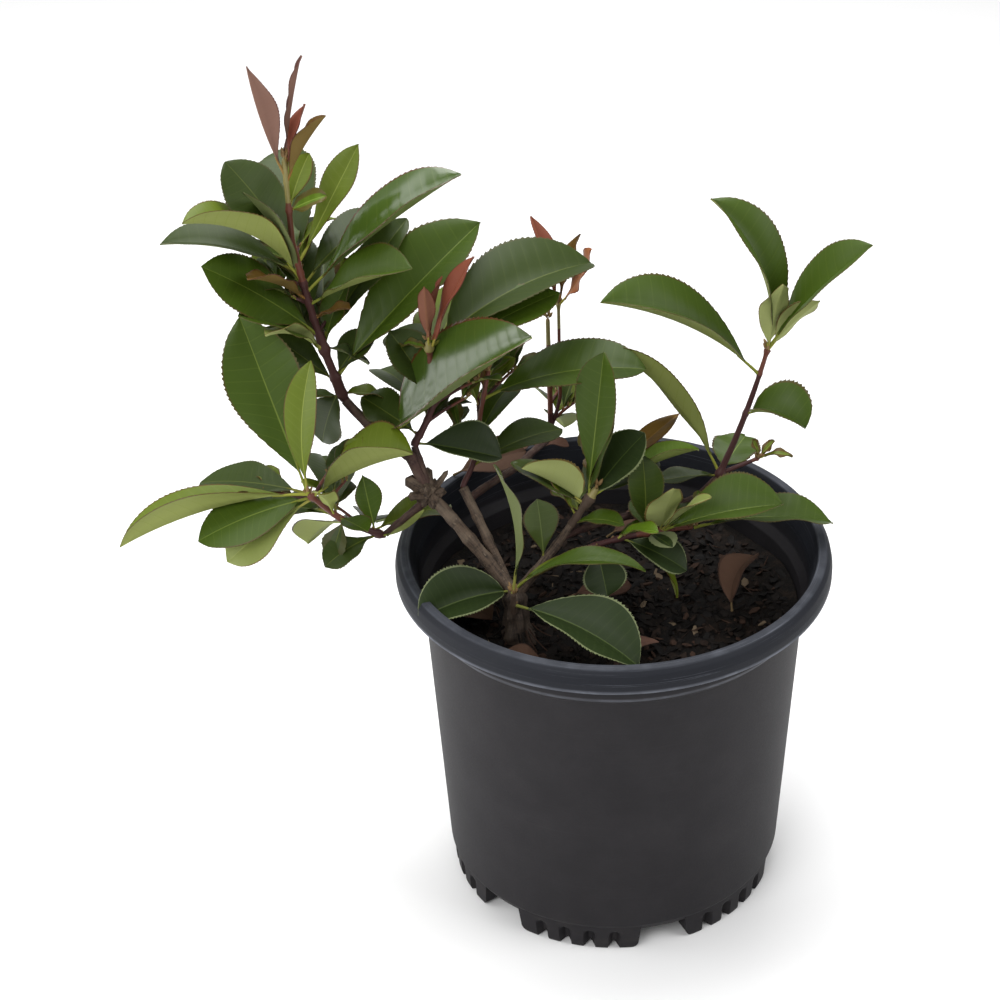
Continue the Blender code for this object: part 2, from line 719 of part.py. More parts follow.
def seeded_leaves(mass, points, stems, blockers):
    """Leaves by a turning rule along the stem, less those that touch or leave the space.

    Each leaf that stays is added to the blockers, which the next masses keep clear of too.
    """
    rule = mass.fill
    draw = random.Random(f"{mass.name}{FILL_SEED}")
    centre, _ = place_on(points, FILL_CENTRE)
    first, last = rule.span
    leaves = []
    for i in range(rule.tries):
        swing = (i * FILL_TURN) % 360 / 360 * 2 - 1
        at = first + (last - first) * (i + 0.5) / rule.tries
        heading = rule.first_heading + rule.spread * swing
        length = draw.uniform(*rule.length)
        lift = draw.uniform(*rule.lift)
        width = length * draw.uniform(*FILL_SLENDER)
        leaf = Leaf(at, heading, lift, length, width, draw.uniform(*FILL_ARCH), draw.uniform(*FILL_ROLL))
        foot, _ = place_on(points, at)
        tip = foot + direction(heading, lift) * length * MM
        tree = leaf_tree(foot, leaf, FILL_CLEARANCE)
        free = not any(tree.overlap(other) for other in stems + blockers)
        if free and (tip - centre).length <= rule.reach:
            blockers.append(tree)
            leaves.append((foot, leaf))
    return leaves


def build_trunk(collection, bark):
    """The short leaning trunk with its root flare, cut flat at the soil."""
    points = limb_path(TRUNK_FOOT, TRUNK_ARCS, TRUNK_STEP)
    item = tube("trunk", points, TRUNK_RADII, collection, bark)
    flat_cut(item, TRUNK_FOOT.z)
    return points, item


def flat_cut(item, height):
    """Cut a mesh flat at a height and close it, and drop what lies under it."""
    bm = bmesh.new()
    bm.from_mesh(item.data)
    geometry = bm.verts[:] + bm.edges[:] + bm.faces[:]
    lowest = min(vert.co.z for vert in bm.verts)
    for vert in bm.verts:
        if vert.co.z < height + FLAT_CUT_DEPTH:
            vert.co.z -= max(0.0, height + FLAT_CUT_DEPTH - lowest)
    bmesh.ops.bisect_plane(
        bm, geom=geometry, plane_co=(0, 0, height), plane_no=(0, 0, -1), clear_outer=True
    )
    bmesh.ops.holes_fill(bm, edges=bm.edges)
    bmesh.ops.triangulate(bm, faces=bm.faces)
    bmesh.ops.recalc_face_normals(bm, faces=bm.faces)
    bm.to_mesh(item.data)
    bm.free()


def build_knot(collection, centre, bark):
    """The gnarled knot at the end of the front stem, with its cut stubs."""
    draw = random.Random(KNOT_SEED)
    bm = bmesh.new()
    bmesh.ops.create_icosphere(bm, subdivisions=2, radius=KNOT_RADIUS)
    for vert in bm.verts:
        vert.co = vert.co * draw.uniform(*KNOT_LUMPS)
        vert.co.z *= KNOT_FLATNESS
        vert.co += centre
    knot = add_object("knot", mesh_from(bm, "knot"), collection, bark)
    stubs = []
    for i, (heading, lift, reach, radius) in enumerate(KNOT_STUBS):
        tip = centre + direction(heading, lift) * reach * MM
        radii = taper(radius * MM, radius * STUB_TAPER * MM)
        stubs.append(tube(f"stub_{i}", [centre, tip], radii, collection))
    return combine(knot, stubs, "UNION", collection)


def cut_clear(item, makers, collection):
    """Cut an object clear of its neighbours, given as makers of slightly larger copies."""
    return combine(item, [make() for make in makers], "DIFFERENCE", collection)


def build_wood(collection):
    """Trunk, stems, boughs and knot. Each keeps the gap to those built before it."""
    bark = material("bark", BARK, 0.85)
    twig = material("twig_bark", TWIG_RED, 0.6)
    trunk_points, trunk = build_trunk(collection, bark)
    paths = {"trunk": trunk_points}
    solids = {"trunk": trunk}
    copies = {"trunk": lambda: tube("trunk_copy", trunk_points, TRUNK_RADII, collection, extra=GAP)}
    for name, parent, share, arcs, foot, tip in LIMBS:
        start, _ = place_on(paths[parent], share)
        if name == "tall_bough":
            knot = build_knot(collection, start, bark)
            near = [copies["left_stem_front"], copies["left_stem_back"]]
            solids["knot"] = cut_clear(knot, near, collection)
            copies["knot"] = lambda: larger_copy(solids["knot"], collection)
        points = square_end(limb_path(start, arcs))
        radii = taper(foot * MM, tip * MM)
        finish = bark if name in ("left_stem_front", "left_stem_back", "right_stem") else twig
        limb = tube(name, points, radii, collection, finish)
        others = [make for other, make in copies.items() if other != name]
        paths[name] = points
        solids[name] = cut_clear(limb, others, collection)
        copies[name] = lambda n=name, p=points, r=radii: tube(n + "_copy", p, r, collection, extra=GAP)
    return paths, solids


def larger_copy(item, collection):
    """A copy of a solid with its surface moved out by the gap."""
    bm = bmesh.new()
    bm.from_mesh(item.data)
    bmesh.ops.recalc_face_normals(bm, faces=bm.faces)
    shifts = [vert.normal * COPY_REACH for vert in bm.verts]
    for vert, shift in zip(bm.verts, shifts):
        vert.co += shift
    return add_object(item.name + "_copy", mesh_from(bm, item.name + "_copy"), collection)


def grow_stems(mass, paths, collection, finish):
    """The stem and twigs of a mass as objects, with the points of each."""
    if mass.offset:
        start = TRUNK_FOOT + Vector(mass.offset)
        points = square_end(limb_path(start, mass.arcs))
    else:
        end, ahead = place_on(paths[mass.bough], 1.0)
        start = end + ahead * GAP
        points = square_end(limb_path(start, mass.arcs))
        points.insert(1, start + ahead * CAP_RUN)
    runs = [points]
    radii = taper(mass.foot_radius * MM, mass.tip_radius * MM)
    objects = [tube(mass.name, points, radii, collection, finish)]
    for i, (share, arcs, foot, tip) in enumerate(mass.twigs):
        run = limb_path(place_on(points, share)[0], arcs)
        runs.append(run)
        objects.append(tube(f"{mass.name}_twig_{i}", run, taper(foot * MM, tip * MM), collection))
    return runs, objects


def grow_masses(paths, solids, collection):
    """The masses of foliage: their named leaves first, then the seeded ones, each mass one union."""
    finish = material("leaf_green", LEAF_GREEN, 0.35)
    masses = build_masses()
    stems = {mass.name: grow_stems(mass, paths, collection, finish) for mass in masses}
    named = {}
    blockers = [tree_of(item) for item in solids]
    for mass in masses:
        runs = stems[mass.name][0]
        named[mass.name] = [(place_on(runs[leaf.twig], leaf.at)[0], leaf) for leaf in mass.leaves]
        blockers += [leaf_tree(foot, leaf) for foot, leaf in named[mass.name]]
    made = []
    for mass in masses:
        runs, objects = stems[mass.name]
        others = [items for name, (_, items) in stems.items() if name != mass.name]
        stem_trees = [tree_of(item) for items in others for item in items]
        grown = seeded_leaves(mass, runs[0], stem_trees, blockers)
        for i, (foot, leaf) in enumerate(named[mass.name] + grown):
            mesh = mesh_from(leaf_mesh(foot, leaf), "leaf")
            objects.append(add_object(f"{mass.name}_leaf_{i}", mesh, collection))
        joined = combine(objects[0], objects[1:], "UNION", collection)
        stems[mass.name] = (runs, [joined])
        made.append(joined)
    return made


def centre_on_footprint(items):
    """Move everything so that the middle of its footprint is the origin, at ground level."""
    low = Vector((math.inf,) * 3)
    high = -low
    for item in items:
        for vert in item.data.vertices:
            for axis in range(3):
                low[axis] = min(low[axis], vert.co[axis])
                high[axis] = max(high[axis], vert.co[axis])
    shift = Vector((-(low.x + high.x) / 2, -(low.y + high.y) / 2, -low.z))
    for item in items:
        item.data.transform(Matrix.Translation(shift))
    return shift


def main():
    """Build the potted shrub."""
    clear_scene()
    collection = new_collection("potted_photinia")
    pot = build_pot(collection)
    soil = build_soil(collection, TRUNK_FOOT)
    paths, wood = build_wood(collection)
    masses = grow_masses(paths, (pot, soil, *wood.values()), collection)
    shift = centre_on_footprint([pot, soil, *wood.values(), *masses])
    print("pot axis at", [round(value / MM, 3) for value in shift])


if __name__ == "__main__":
    main()
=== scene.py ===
"""The potted red robin photinia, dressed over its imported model.

Lengths are metres in the model's own frame, +Z up. The shrub's sizes are written in millimetres
times MM, from the pot's axis at ground level, and moved to the frame when a piece is finished.
A heading is an angle seen from above, 0 to +X and 90 to +Y. A lift is the angle above level.
"""
import logging
import math
import random
from dataclasses import dataclass, field
from enum import Enum
from typing import Any, Callable

import bmesh
import bpy
from mathutils import Matrix, Vector, kdtree, noise
from mathutils.bvhtree import BVHTree
import json

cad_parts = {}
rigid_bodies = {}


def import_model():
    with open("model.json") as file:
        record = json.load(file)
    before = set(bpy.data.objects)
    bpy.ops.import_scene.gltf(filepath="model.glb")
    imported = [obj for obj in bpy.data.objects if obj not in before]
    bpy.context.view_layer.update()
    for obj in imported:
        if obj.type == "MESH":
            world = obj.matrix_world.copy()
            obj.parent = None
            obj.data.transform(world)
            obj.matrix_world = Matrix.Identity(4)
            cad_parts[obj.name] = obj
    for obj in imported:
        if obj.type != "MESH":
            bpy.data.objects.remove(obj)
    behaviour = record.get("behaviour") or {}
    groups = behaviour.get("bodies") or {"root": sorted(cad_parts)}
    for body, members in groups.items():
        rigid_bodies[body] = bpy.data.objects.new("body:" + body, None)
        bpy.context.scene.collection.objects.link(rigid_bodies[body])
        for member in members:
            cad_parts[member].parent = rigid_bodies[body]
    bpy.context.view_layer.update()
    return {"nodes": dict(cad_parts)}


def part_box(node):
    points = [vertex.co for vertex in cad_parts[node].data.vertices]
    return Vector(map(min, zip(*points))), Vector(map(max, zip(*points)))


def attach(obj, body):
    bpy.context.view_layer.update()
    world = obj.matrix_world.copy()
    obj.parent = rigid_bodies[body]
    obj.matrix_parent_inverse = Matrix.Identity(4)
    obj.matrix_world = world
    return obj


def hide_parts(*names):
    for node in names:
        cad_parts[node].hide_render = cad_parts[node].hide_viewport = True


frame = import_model()

LOG = logging.getLogger("potted_photinia")

MM = 0.001
# Corners nearer to each other than this are merged
WELD = 0.002 * MM
# The UV map of bark and stems: its x runs round the limb and its y along it, in metres
RUN_MAP = "run"

# Limbs and leaves are arcs, grown by the same rule as the source's, in millimetres and degrees
LIMB_STEP = 9
FINE_STEP = 1.6
GAP = 0.3
SOIL_LEVEL = 168.6
TRUNK_FOOT = (-50, -37, SOIL_LEVEL + GAP)
PETIOLE_SHARE = 0.12
WIDTH_FACTOR = 1.08
FILL_SEED = 7
FILL_TURN = 137.5
FILL_SLENDER = (0.34, 0.42)
FILL_ARCH = (14, 46)
FILL_ROLL = (-18, 18)
# An arc that turns less than this, in radians, is straight
STRAIGHT = 1e-3
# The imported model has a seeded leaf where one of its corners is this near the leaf's tip
TIP_MATCH = 0.6
# A sprig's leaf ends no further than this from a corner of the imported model
SPRIG_REACH = 15
# Where the photograph's camera stands, from the pot's axis
EYE = (0.0, -1052.03, 898.78)

Colour = tuple[float, float, float]
Triple = tuple[float, float, float]
Range = tuple[float, float]
Path = list[Vector]
Mesh = bmesh.types.BMesh


# ---- shader writing


class Signal:
    """A shader socket that plain arithmetic can be written on."""

    def __init__(self, recipe: "Recipe", socket: bpy.types.NodeSocket) -> None:
        """Keep the recipe that the socket belongs to."""
        self.recipe = recipe
        self.socket = socket

    def _maths(self, operation: str, first: Any, second: Any) -> "Signal":
        """Add one Math node.

        Args:
            operation: The node's operation.
            first: Its first value, a number or a signal.
            second: Its second value, a number or a signal.

        Returns:
            The node's result.
        """
        node = self.recipe.node("ShaderNodeMath", {"operation": operation}, {0: first, 1: second})
        return Signal(self.recipe, node.outputs[0])

    def __add__(self, other: Any) -> "Signal":
        """Sum of two values."""
        return self._maths("ADD", self, other)

    def __radd__(self, other: Any) -> "Signal":
        """Sum with a number on the left."""
        return self._maths("ADD", other, self)

    def __sub__(self, other: Any) -> "Signal":
        """Difference of two values."""
        return self._maths("SUBTRACT", self, other)

    def __rsub__(self, other: Any) -> "Signal":
        """Difference from a number on the left."""
        return self._maths("SUBTRACT", other, self)

    def __mul__(self, other: Any) -> "Signal":
        """Product of two values."""
        return self._maths("MULTIPLY", self, other)

    def __rmul__(self, other: Any) -> "Signal":
        """Product with a number on the left."""
        return self._maths("MULTIPLY", other, self)

    def __pow__(self, other: Any) -> "Signal":
        """Power of a value."""
        return self._maths("POWER", self, other)

    def band(self, low: float, high: float) -> "Signal":
        """Smooth step from 0 at low to 1 at high.

        Args:
            low: Value where the step starts.
            high: Value where it ends.

        Returns:
            The stepped signal.
        """
        settings = {"interpolation_type": "SMOOTHSTEP"}
        node = self.recipe.node("ShaderNodeMapRange", settings, {0: self, 1: low, 2: high})
        return Signal(self.recipe, node.outputs[0])


class Recipe:
    """A material's node tree, built one node at a time."""

    def __init__(self, name: str) -> None:
        """Make the material and empty its tree."""
        self.material = bpy.data.materials.new(name)
        self.material.use_nodes = True
        self.tree = self.material.node_tree
        self.tree.nodes.clear()

    def node(
        self, kind: str, settings: dict | None = None, sockets: dict | None = None
    ) -> bpy.types.Node:
        """Add a node.

        Args:
            kind: The node's type.
            settings: Its properties, which are set first.
            sockets: Values or signals of its inputs by name or number.

        Returns:
            The new node.
        """
        made = self.tree.nodes.new(kind)
        for key, value in (settings or {}).items():
            setattr(made, key, value)
        for key, value in (sockets or {}).items():
            if isinstance(value, Signal):
                self.tree.links.new(value.socket, made.inputs[key])
            else:
                made.inputs[key].default_value = value
        return made

    def take(
        self, kind: str, settings: dict | None = None, sockets: dict | None = None,
        output: int | str = 0,
    ) -> Signal:
        """Add a node and keep one of its outputs.

        Args:
            kind: The node's type.
            settings: Its properties.
            sockets: Its inputs.
            output: The output by name or number.

        Returns:
            The output as a signal.
        """
        return Signal(self, self.node(kind, settings, sockets).outputs[output])

    def noise(self, place: Signal, scale: float, detail: float = 3, rough: float = 0.55) -> Signal:
        """Noise from 0 to 1.

        Args:
            place: The point that it is read at.
            scale: Features per metre.
            detail: Octaves.
            rough: Strength of the finer octaves.

        Returns:
            The noise.
        """
        sockets = {"Vector": place, "Scale": scale, "Detail": detail, "Roughness": rough}
        return self.take("ShaderNodeTexNoise", sockets=sockets, output="Fac")

    def blend(self, factor: Any, low: Any, high: Any) -> Signal:
        """Mix two colours.

        Args:
            factor: 0 for low and 1 for high.
            low: A colour or signal.
            high: A colour or signal.

        Returns:
            The mixed colour.
        """
        ends = [value if isinstance(value, Signal) else (*value, 1.0) for value in (low, high)]
        # A Mix node's colours are its inputs 6 and 7 and its output 2
        settings = {"data_type": "RGBA"}
        return self.take("ShaderNodeMix", settings, {0: factor, 6: ends[0], 7: ends[1]}, 2)

    def place(self) -> Signal:
        """The point on the piece, in Object coordinates."""
        return self.take("ShaderNodeTexCoord", output="Object")

    def scaled(self, place: Signal, stretch: Triple) -> Signal:
        """A point stretched along its axes by a Mapping node."""
        return self.take("ShaderNodeMapping", sockets={"Vector": place, "Scale": stretch})

    def bump(self, height: Signal, strength: float, depth: float) -> Signal:
        """Normal of a height pattern, depth in metres."""
        sockets = {"Height": height, "Strength": strength, "Distance": depth}
        return self.take("ShaderNodeBump", sockets=sockets)

    def finish(self, sockets: dict) -> bpy.types.Material:
        """Close the recipe with its shader.

        Args:
            sockets: Values or signals of the Principled shader's inputs.

        Returns:
            The material.
        """
        shader = self.node("ShaderNodeBsdfPrincipled", sockets=sockets)
        output = self.node("ShaderNodeOutputMaterial")
        self.tree.links.new(shader.outputs[0], output.inputs[0])
        return self.material


# ---- finishes


@dataclass(frozen=True)
class PlainFinish:
    """One colour all over, for parts too small or too many for a pattern."""

    name: str
    colour: Colour
    roughness: float = 0.5
    coat: float = 0.0
    coat_roughness: float = 0.25
    specular: float = 0.5

    def material(self) -> bpy.types.Material:
        """The finish as a material, made once."""
        found = bpy.data.materials.get(self.name)
        if found:
            return found
        return Recipe(self.name).finish(
            {
                "Base Color": (*self.colour, 1.0),
                "Roughness": self.roughness,
                "Specular IOR Level": self.specular,
                "Coat Weight": self.coat,
                "Coat Roughness": self.coat_roughness,
            }
        )


@dataclass(frozen=True)
class BarkFinish:
    """Bark that follows its limb. Its marks are counted per metre round it and along it."""

    name: str
    dark: Colour
    middle: Colour
    pale: Colour
    roughness: float = 0.8
    depth: float = 0.5 * MM
    furrows: Triple = (900, 110, 1)
    cracks: Triple = (160, 700, 1)
    patches: Triple = (90, 60, 1)
    scars: Triple = (420, 260, 1)

    def material(self) -> bpy.types.Material:
        """Lengthwise furrows, cross cracks and pale corky scars, made once.

        Returns:
            The material.
        """
        found = bpy.data.materials.get(self.name)
        if found:
            return found
        recipe = Recipe(self.name)
        run = recipe.take("ShaderNodeUVMap", {"uv_map": RUN_MAP})
        furrow = recipe.noise(recipe.scaled(run, self.furrows), 1.0, 4, 0.6)
        crack = recipe.noise(recipe.scaled(run, self.cracks), 1.0, 3, 0.6)
        patch = recipe.noise(recipe.scaled(run, self.patches), 1.0, 2)
        scar = recipe.noise(recipe.scaled(run, self.scars), 1.0, 1).band(0.66, 0.74)
        height = furrow * 0.65 + crack * 0.35
        body = recipe.blend(height.band(0.34, 0.62), self.dark, self.middle)
        weathered = recipe.blend(patch.band(0.45, 0.7) * 0.55, body, self.pale)
        colour = recipe.blend(scar * 0.6, weathered, self.pale)
        return recipe.finish(
            {
                "Base Color": colour,
                "Roughness": 0.62 + height * (self.roughness - 0.45),
                "Specular IOR Level": 0.3,
                "Normal": recipe.bump(height + scar * 0.3, 0.9, self.depth),
            }
        )


@dataclass(frozen=True)
class PotPlastic:
    """Matt black nursery plastic: painted highlight along its rim's edges, finely scratched round
    and dusty.

    A fade is where a mark comes in, in metres. An edge of painted highlight has three: the heights
    where it comes in and goes out, and the radius past which it shows.
    """

    name: str = "pot_plastic_black"
    body: Colour = (0.0132, 0.0120, 0.0138)
    lighter: Colour = (0.0172, 0.0158, 0.0178)
    rim: Colour = (0.0112, 0.0125, 0.0170)
    pale_wear_and_highlight: Colour = (0.150, 0.160, 0.190)
    dust: Colour = (0.075, 0.064, 0.052)
    ring_pitch: float = 1500
    ring_drift: Range = (9, 7)
    top_fade: Range = (0.176, 0.192)
    lip_edge: tuple[Range, ...] = ((0.1893, 0.1903), (0.1908, 0.1925), (0.1125, 0.1140))
    collar_edge: tuple[Range, ...] = ((0.1765, 0.1775), (0.1785, 0.1800), (0.1025, 0.1035))
    crest_fade: Range = (0.2018, 0.2028)
    foot_fade: Range = (0.0, 0.03)

    @staticmethod
    def highlight_edge(z: Signal, radius: Signal, fades: tuple[Range, ...]) -> Signal:
        """The mask of the painted highlight along one edge.

        Args:
            z: Height above the ground.
            radius: Distance from the pot's axis.
            fades: Where it comes in, where it goes out and the radius past which it shows.

        Returns:
            The mask, 1 on the edge.
        """
        low, high, outside = fades
        return z.band(*low) * (1 - z.band(*high)) * radius.band(*outside)

    def material(self, centre: Vector) -> bpy.types.Material:
        """The plastic, in patterns round the pot's axis.

        Args:
            centre: The axis at ground level, in the frame.

        Returns:
            The material.
        """
        recipe = Recipe(self.name)
        sockets = {"Vector": recipe.place(), "Location": -centre}
        about = recipe.take("ShaderNodeMapping", sockets=sockets)
        parts = recipe.node("ShaderNodeSeparateXYZ", sockets={0: about})
        x, y, z = (Signal(recipe, parts.outputs[i]) for i in range(3))
        radius = (x * x + y * y) ** 0.5
        # Rings round the axis: only the radius, the height and a slow drift change them
        drift = x * self.ring_drift[0] + y * self.ring_drift[1]
        sockets = {0: radius * self.ring_pitch, 1: z * self.ring_pitch, 2: drift}
        rings = recipe.take("ShaderNodeCombineXYZ", sockets=sockets)
        scratch = recipe.noise(rings, 1.0, 3, 0.7)
        grain = recipe.noise(about, 900, 3, 0.7)
        mottle = recipe.noise(about, 38, 4, 0.6)
        patchy = recipe.noise(recipe.scaled(about, (1, 1, 2.5)), 55, 3, 0.6)
        top = z.band(*self.top_fade)
        # Painted highlight: pale lines along the lip's and the collar's lower edges and along the
        # crest
        lip = self.highlight_edge(z, radius, self.lip_edge)
        collar = self.highlight_edge(z, radius, self.collar_edge)
        crest = z.band(*self.crest_fade)
        body = recipe.blend(mottle.band(0.3, 0.75), self.body, self.lighter)
        rimmed = recipe.blend(top, body, self.rim)
        marks = scratch.band(0.60, 0.70) * (top * 0.4 + 0.02)
        scratched = recipe.blend(marks, rimmed, self.pale_wear_and_highlight)
        # The painted highlight on the edges is broken up by patchy noise, which also spreads the
        # real dust at the foot
        edges = (lip * 0.8 + collar * 0.45 + crest * 0.25) * (0.5 + patchy.band(0.4, 0.65) * 0.5)
        # The pale colour serves both the real scratches and the painted highlight on the edges
        pale_wear_and_highlight = recipe.blend(edges, scratched, self.pale_wear_and_highlight)
        low = (1 - z.band(*self.foot_fade)) * patchy.band(0.45, 0.8)
        dusty = mottle.band(0.6, 0.9) * 0.05 + low * 0.18
        colour = recipe.blend(dusty, pale_wear_and_highlight, self.dust)
        return recipe.finish(
            {
                "Base Color": colour,
                "Roughness": 0.52 + grain * 0.16 - marks * 0.1,
                "Specular IOR Level": 0.15,
                "Normal": recipe.bump(grain * 0.6 + scratch * top * 0.7, 0.35, 0.25 * MM),
            }
        )


@dataclass(frozen=True)
class BarkMix:
    """Damp composted bark: near black with brown fibres and grit."""

    name: str = "bark_mix_dark"
    damp: Colour = (0.0034, 0.0026, 0.0022)
    brown: Colour = (0.0125, 0.0080, 0.0056)
    grit: Colour = (0.036, 0.027, 0.020)

    def material(self) -> bpy.types.Material:
        """Crumbs at three sizes with a strong relief.

        Returns:
            The material.
        """
        recipe = Recipe(self.name)
        place = recipe.place()
        lumps = recipe.noise(place, 110, 4, 0.65)
        crumbs = recipe.noise(place, 420, 4, 0.7)
        fibres = recipe.noise(recipe.scaled(place, (300, 1300, 500)), 1.0, 2, 0.6)
        body = recipe.blend(lumps.band(0.42, 0.68), self.damp, self.brown)
        colour = recipe.blend(fibres.band(0.64, 0.78) * 0.55, body, self.grit)
        return recipe.finish(
            {
                "Base Color": colour,
                "Roughness": 0.75 + crumbs * 0.2,
                "Specular IOR Level": 0.14,
                "Normal": recipe.bump(lumps * 0.6 + crumbs * 0.4, 1.0, 2.2 * MM),
            }
        )


class Part(Enum):
    """The parts of a leaf that have their own colour."""

    UPPER = 0
    UPPER_VEIN = 1
    RIB = 2
    RIM = 3
    LOWER = 4
    LOWER_RIB = 5
    STALK = 6


@dataclass(frozen=True)
class Tone:
    """A leaf's colours: its two faces, its midrib, its toothed rim and its stalk."""

    upper: Colour
    lower: Colour
    rib: Colour
    rim: Colour
    stalk: Colour
    roughness: float = 0.44
    coat: float = 0.0
    vein_share: float = 0.14
    lower_rib_share: float = 0.3

    def towards_rib(self, colour: Colour, share: float) -> Colour:
        """A colour with a share of the midrib's in it."""
        return tuple(a * (1 - share) + b * share for a, b in zip(colour, self.rib))

    def colour(self, part: Part) -> Colour:
        """The colour of one part.

        Args:
            part: The part.

        Returns:
            Its colour, mixed from the tone's own where it has none.
        """
        return {
            Part.UPPER: self.upper,
            Part.UPPER_VEIN: self.towards_rib(self.upper, self.vein_share),
            Part.RIB: self.rib,
            Part.RIM: self.rim,
            Part.LOWER: self.lower,
            Part.LOWER_RIB: self.towards_rib(self.lower, self.lower_rib_share),
            Part.STALK: self.stalk,
        }[part]


# A leaf's under face and stalk have no gloss: this much rougher than its upper face, up to a limit
MATT_STEP = 0.24
MATT_LIMIT = 0.9
MATT_SPECULAR = 0.12
UPPER_SPECULAR = 0.22
UPPER_COAT_ROUGHNESS = 0.2


class Tint(Enum):
    """The leaf colours on the shrub, from its oldest leaves to its newest, with SHADE as painted
    shade.
    """

    DEEP = Tone((0.026, 0.043, 0.005), (0.120, 0.150, 0.050), (0.070, 0.090, 0.014),
                (0.045, 0.048, 0.012), (0.13, 0.13, 0.02))
    # Painted shade: a darkened green for the low leaves that stand in the shade under the crown
    SHADE = Tone((0.013, 0.024, 0.004), (0.080, 0.105, 0.040), (0.045, 0.066, 0.014),
                 (0.130, 0.150, 0.070), (0.13, 0.14, 0.03), 0.5)
    GREEN = Tone((0.038, 0.067, 0.004), (0.200, 0.230, 0.065), (0.105, 0.145, 0.020),
                 (0.060, 0.050, 0.010), (0.17, 0.19, 0.03))
    SHINE = Tone((0.040, 0.072, 0.008), (0.150, 0.190, 0.060), (0.115, 0.155, 0.028),
                 (0.075, 0.030, 0.010), (0.19, 0.20, 0.03), 0.24, 0.9)
    OLIVE = Tone((0.085, 0.118, 0.006), (0.220, 0.250, 0.070), (0.170, 0.205, 0.030),
                 (0.080, 0.048, 0.010), (0.24, 0.25, 0.04))
    FRESH = Tone((0.075, 0.132, 0.006), (0.260, 0.310, 0.090), (0.170, 0.250, 0.030),
                 (0.085, 0.070, 0.012), (0.29, 0.32, 0.05))
    PALE = Tone((0.190, 0.225, 0.060), (0.270, 0.300, 0.110), (0.25, 0.28, 0.08),
                (0.130, 0.090, 0.025), (0.28, 0.26, 0.06))
    GREY = Tone((0.050, 0.072, 0.016), (0.110, 0.130, 0.050), (0.100, 0.13, 0.035),
                (0.050, 0.040, 0.012), (0.19, 0.19, 0.04), 0.34, 0.5)
    BRONZE = Tone((0.110, 0.060, 0.010), (0.150, 0.100, 0.030), (0.17, 0.09, 0.02),
                  (0.075, 0.026, 0.010), (0.22, 0.11, 0.03))
    ORANGE = Tone((0.240, 0.075, 0.018), (0.260, 0.110, 0.045), (0.27, 0.14, 0.04),
                  (0.130, 0.030, 0.014), (0.32, 0.28, 0.05), 0.5)
    RED = Tone((0.205, 0.058, 0.032), (0.190, 0.080, 0.052), (0.24, 0.11, 0.05),
               (0.100, 0.020, 0.014), (0.30, 0.26, 0.05), 0.55)
    DUSK = Tone((0.110, 0.046, 0.036), (0.165, 0.090, 0.068), (0.16, 0.08, 0.05),
                (0.070, 0.018, 0.014), (0.24, 0.15, 0.05), 0.6)
    DRY = Tone((0.070, 0.036, 0.022), (0.110, 0.066, 0.042), (0.055, 0.030, 0.018),
               (0.040, 0.020, 0.013), (0.10, 0.07, 0.035), 0.8)
    RUST = Tone((0.095, 0.048, 0.034), (0.130, 0.074, 0.052), (0.075, 0.040, 0.025),
                (0.050, 0.025, 0.017), (0.11, 0.07, 0.045), 0.85)

    def finish(self, part: Part) -> PlainFinish:
        """The finish of one part of a leaf of this colour.

        Args:
            part: The leaf's part.

        Returns:
            The finish.
        """
        tone = self.value
        matt = part in (Part.LOWER, Part.LOWER_RIB, Part.STALK)
        return PlainFinish(
            f"leaf_{self.name.lower()}_{part.name.lower()}",
            tone.colour(part),
            min(MATT_LIMIT, tone.roughness + MATT_STEP) if matt else tone.roughness,
            0.0 if matt else tone.coat,
            UPPER_COAT_ROUGHNESS,
            MATT_SPECULAR if matt else UPPER_SPECULAR,
        )


class Form(Enum):
    """A leaf's outline: how far out it is widest, and how blunt it is at its ends."""

    OVAL = (1.36, 0.74)
    ROUND = (1.2, 0.58)
    SPOON = (1.75, 0.74)
    LANCE = (1.3, 1.0)
    HEEL = (0.78, 0.66)


class Twig(Enum):
    """The colours along a green shoot, woody at its foot and fresh at its tip."""

    WOODY = PlainFinish("shoot_woody", (0.062, 0.042, 0.030), 0.75, specular=0.2)
    PURPLE = PlainFinish("shoot_purple", (0.058, 0.023, 0.022), 0.5, specular=0.2)
    CRIMSON = PlainFinish("shoot_crimson", (0.115, 0.038, 0.025), 0.45, specular=0.25)
    GREENISH = PlainFinish("shoot_green", (0.19, 0.16, 0.05), 0.5)
    SCALE = PlainFinish("bud_scale", (0.20, 0.125, 0.055), 0.6, specular=0.15)


WOOD = BarkFinish("bark_brown", (0.018, 0.012, 0.009), (0.088, 0.060, 0.041), (0.180, 0.136, 0.098))
FOOT = BarkFinish("bark_foot", (0.010, 0.007, 0.005), (0.046, 0.031, 0.022), (0.105, 0.078, 0.058))
BOUGH = BarkFinish(
    "bark_bough", (0.024, 0.012, 0.011), (0.070, 0.036, 0.029), (0.130, 0.090, 0.066), 0.7, 0.3 * MM
)


# ---- the growing rule


@dataclass(frozen=True)
class Arc:
    """One bend of a limb: the chord's heading, lift and length, and how far it turns."""

    heading: float
    lift: float
    length: float
    arch: float = 0


@dataclass(frozen=True)
class Leaf:
    """One leaf: at is its place along the stem, 0 at the foot and 1 at the tip."""

    at: float
    heading: float
    lift: float
    length: float
    width: float
    arch: float = 30
    roll: float = 0
    fold: float = 22
    tint: Tint = Tint.GREEN
    form: Form = Form.OVAL
    twig: int = 0
    wave: float = 1.0


@dataclass(frozen=True)
class Fill:
    """A rule for seeded leaves: how many to try and the ranges their values come from."""

    tries: int
    first_heading: float
    spread: float
    lift: Range
    length: Range
    span: Range = (0.12, 0.96)


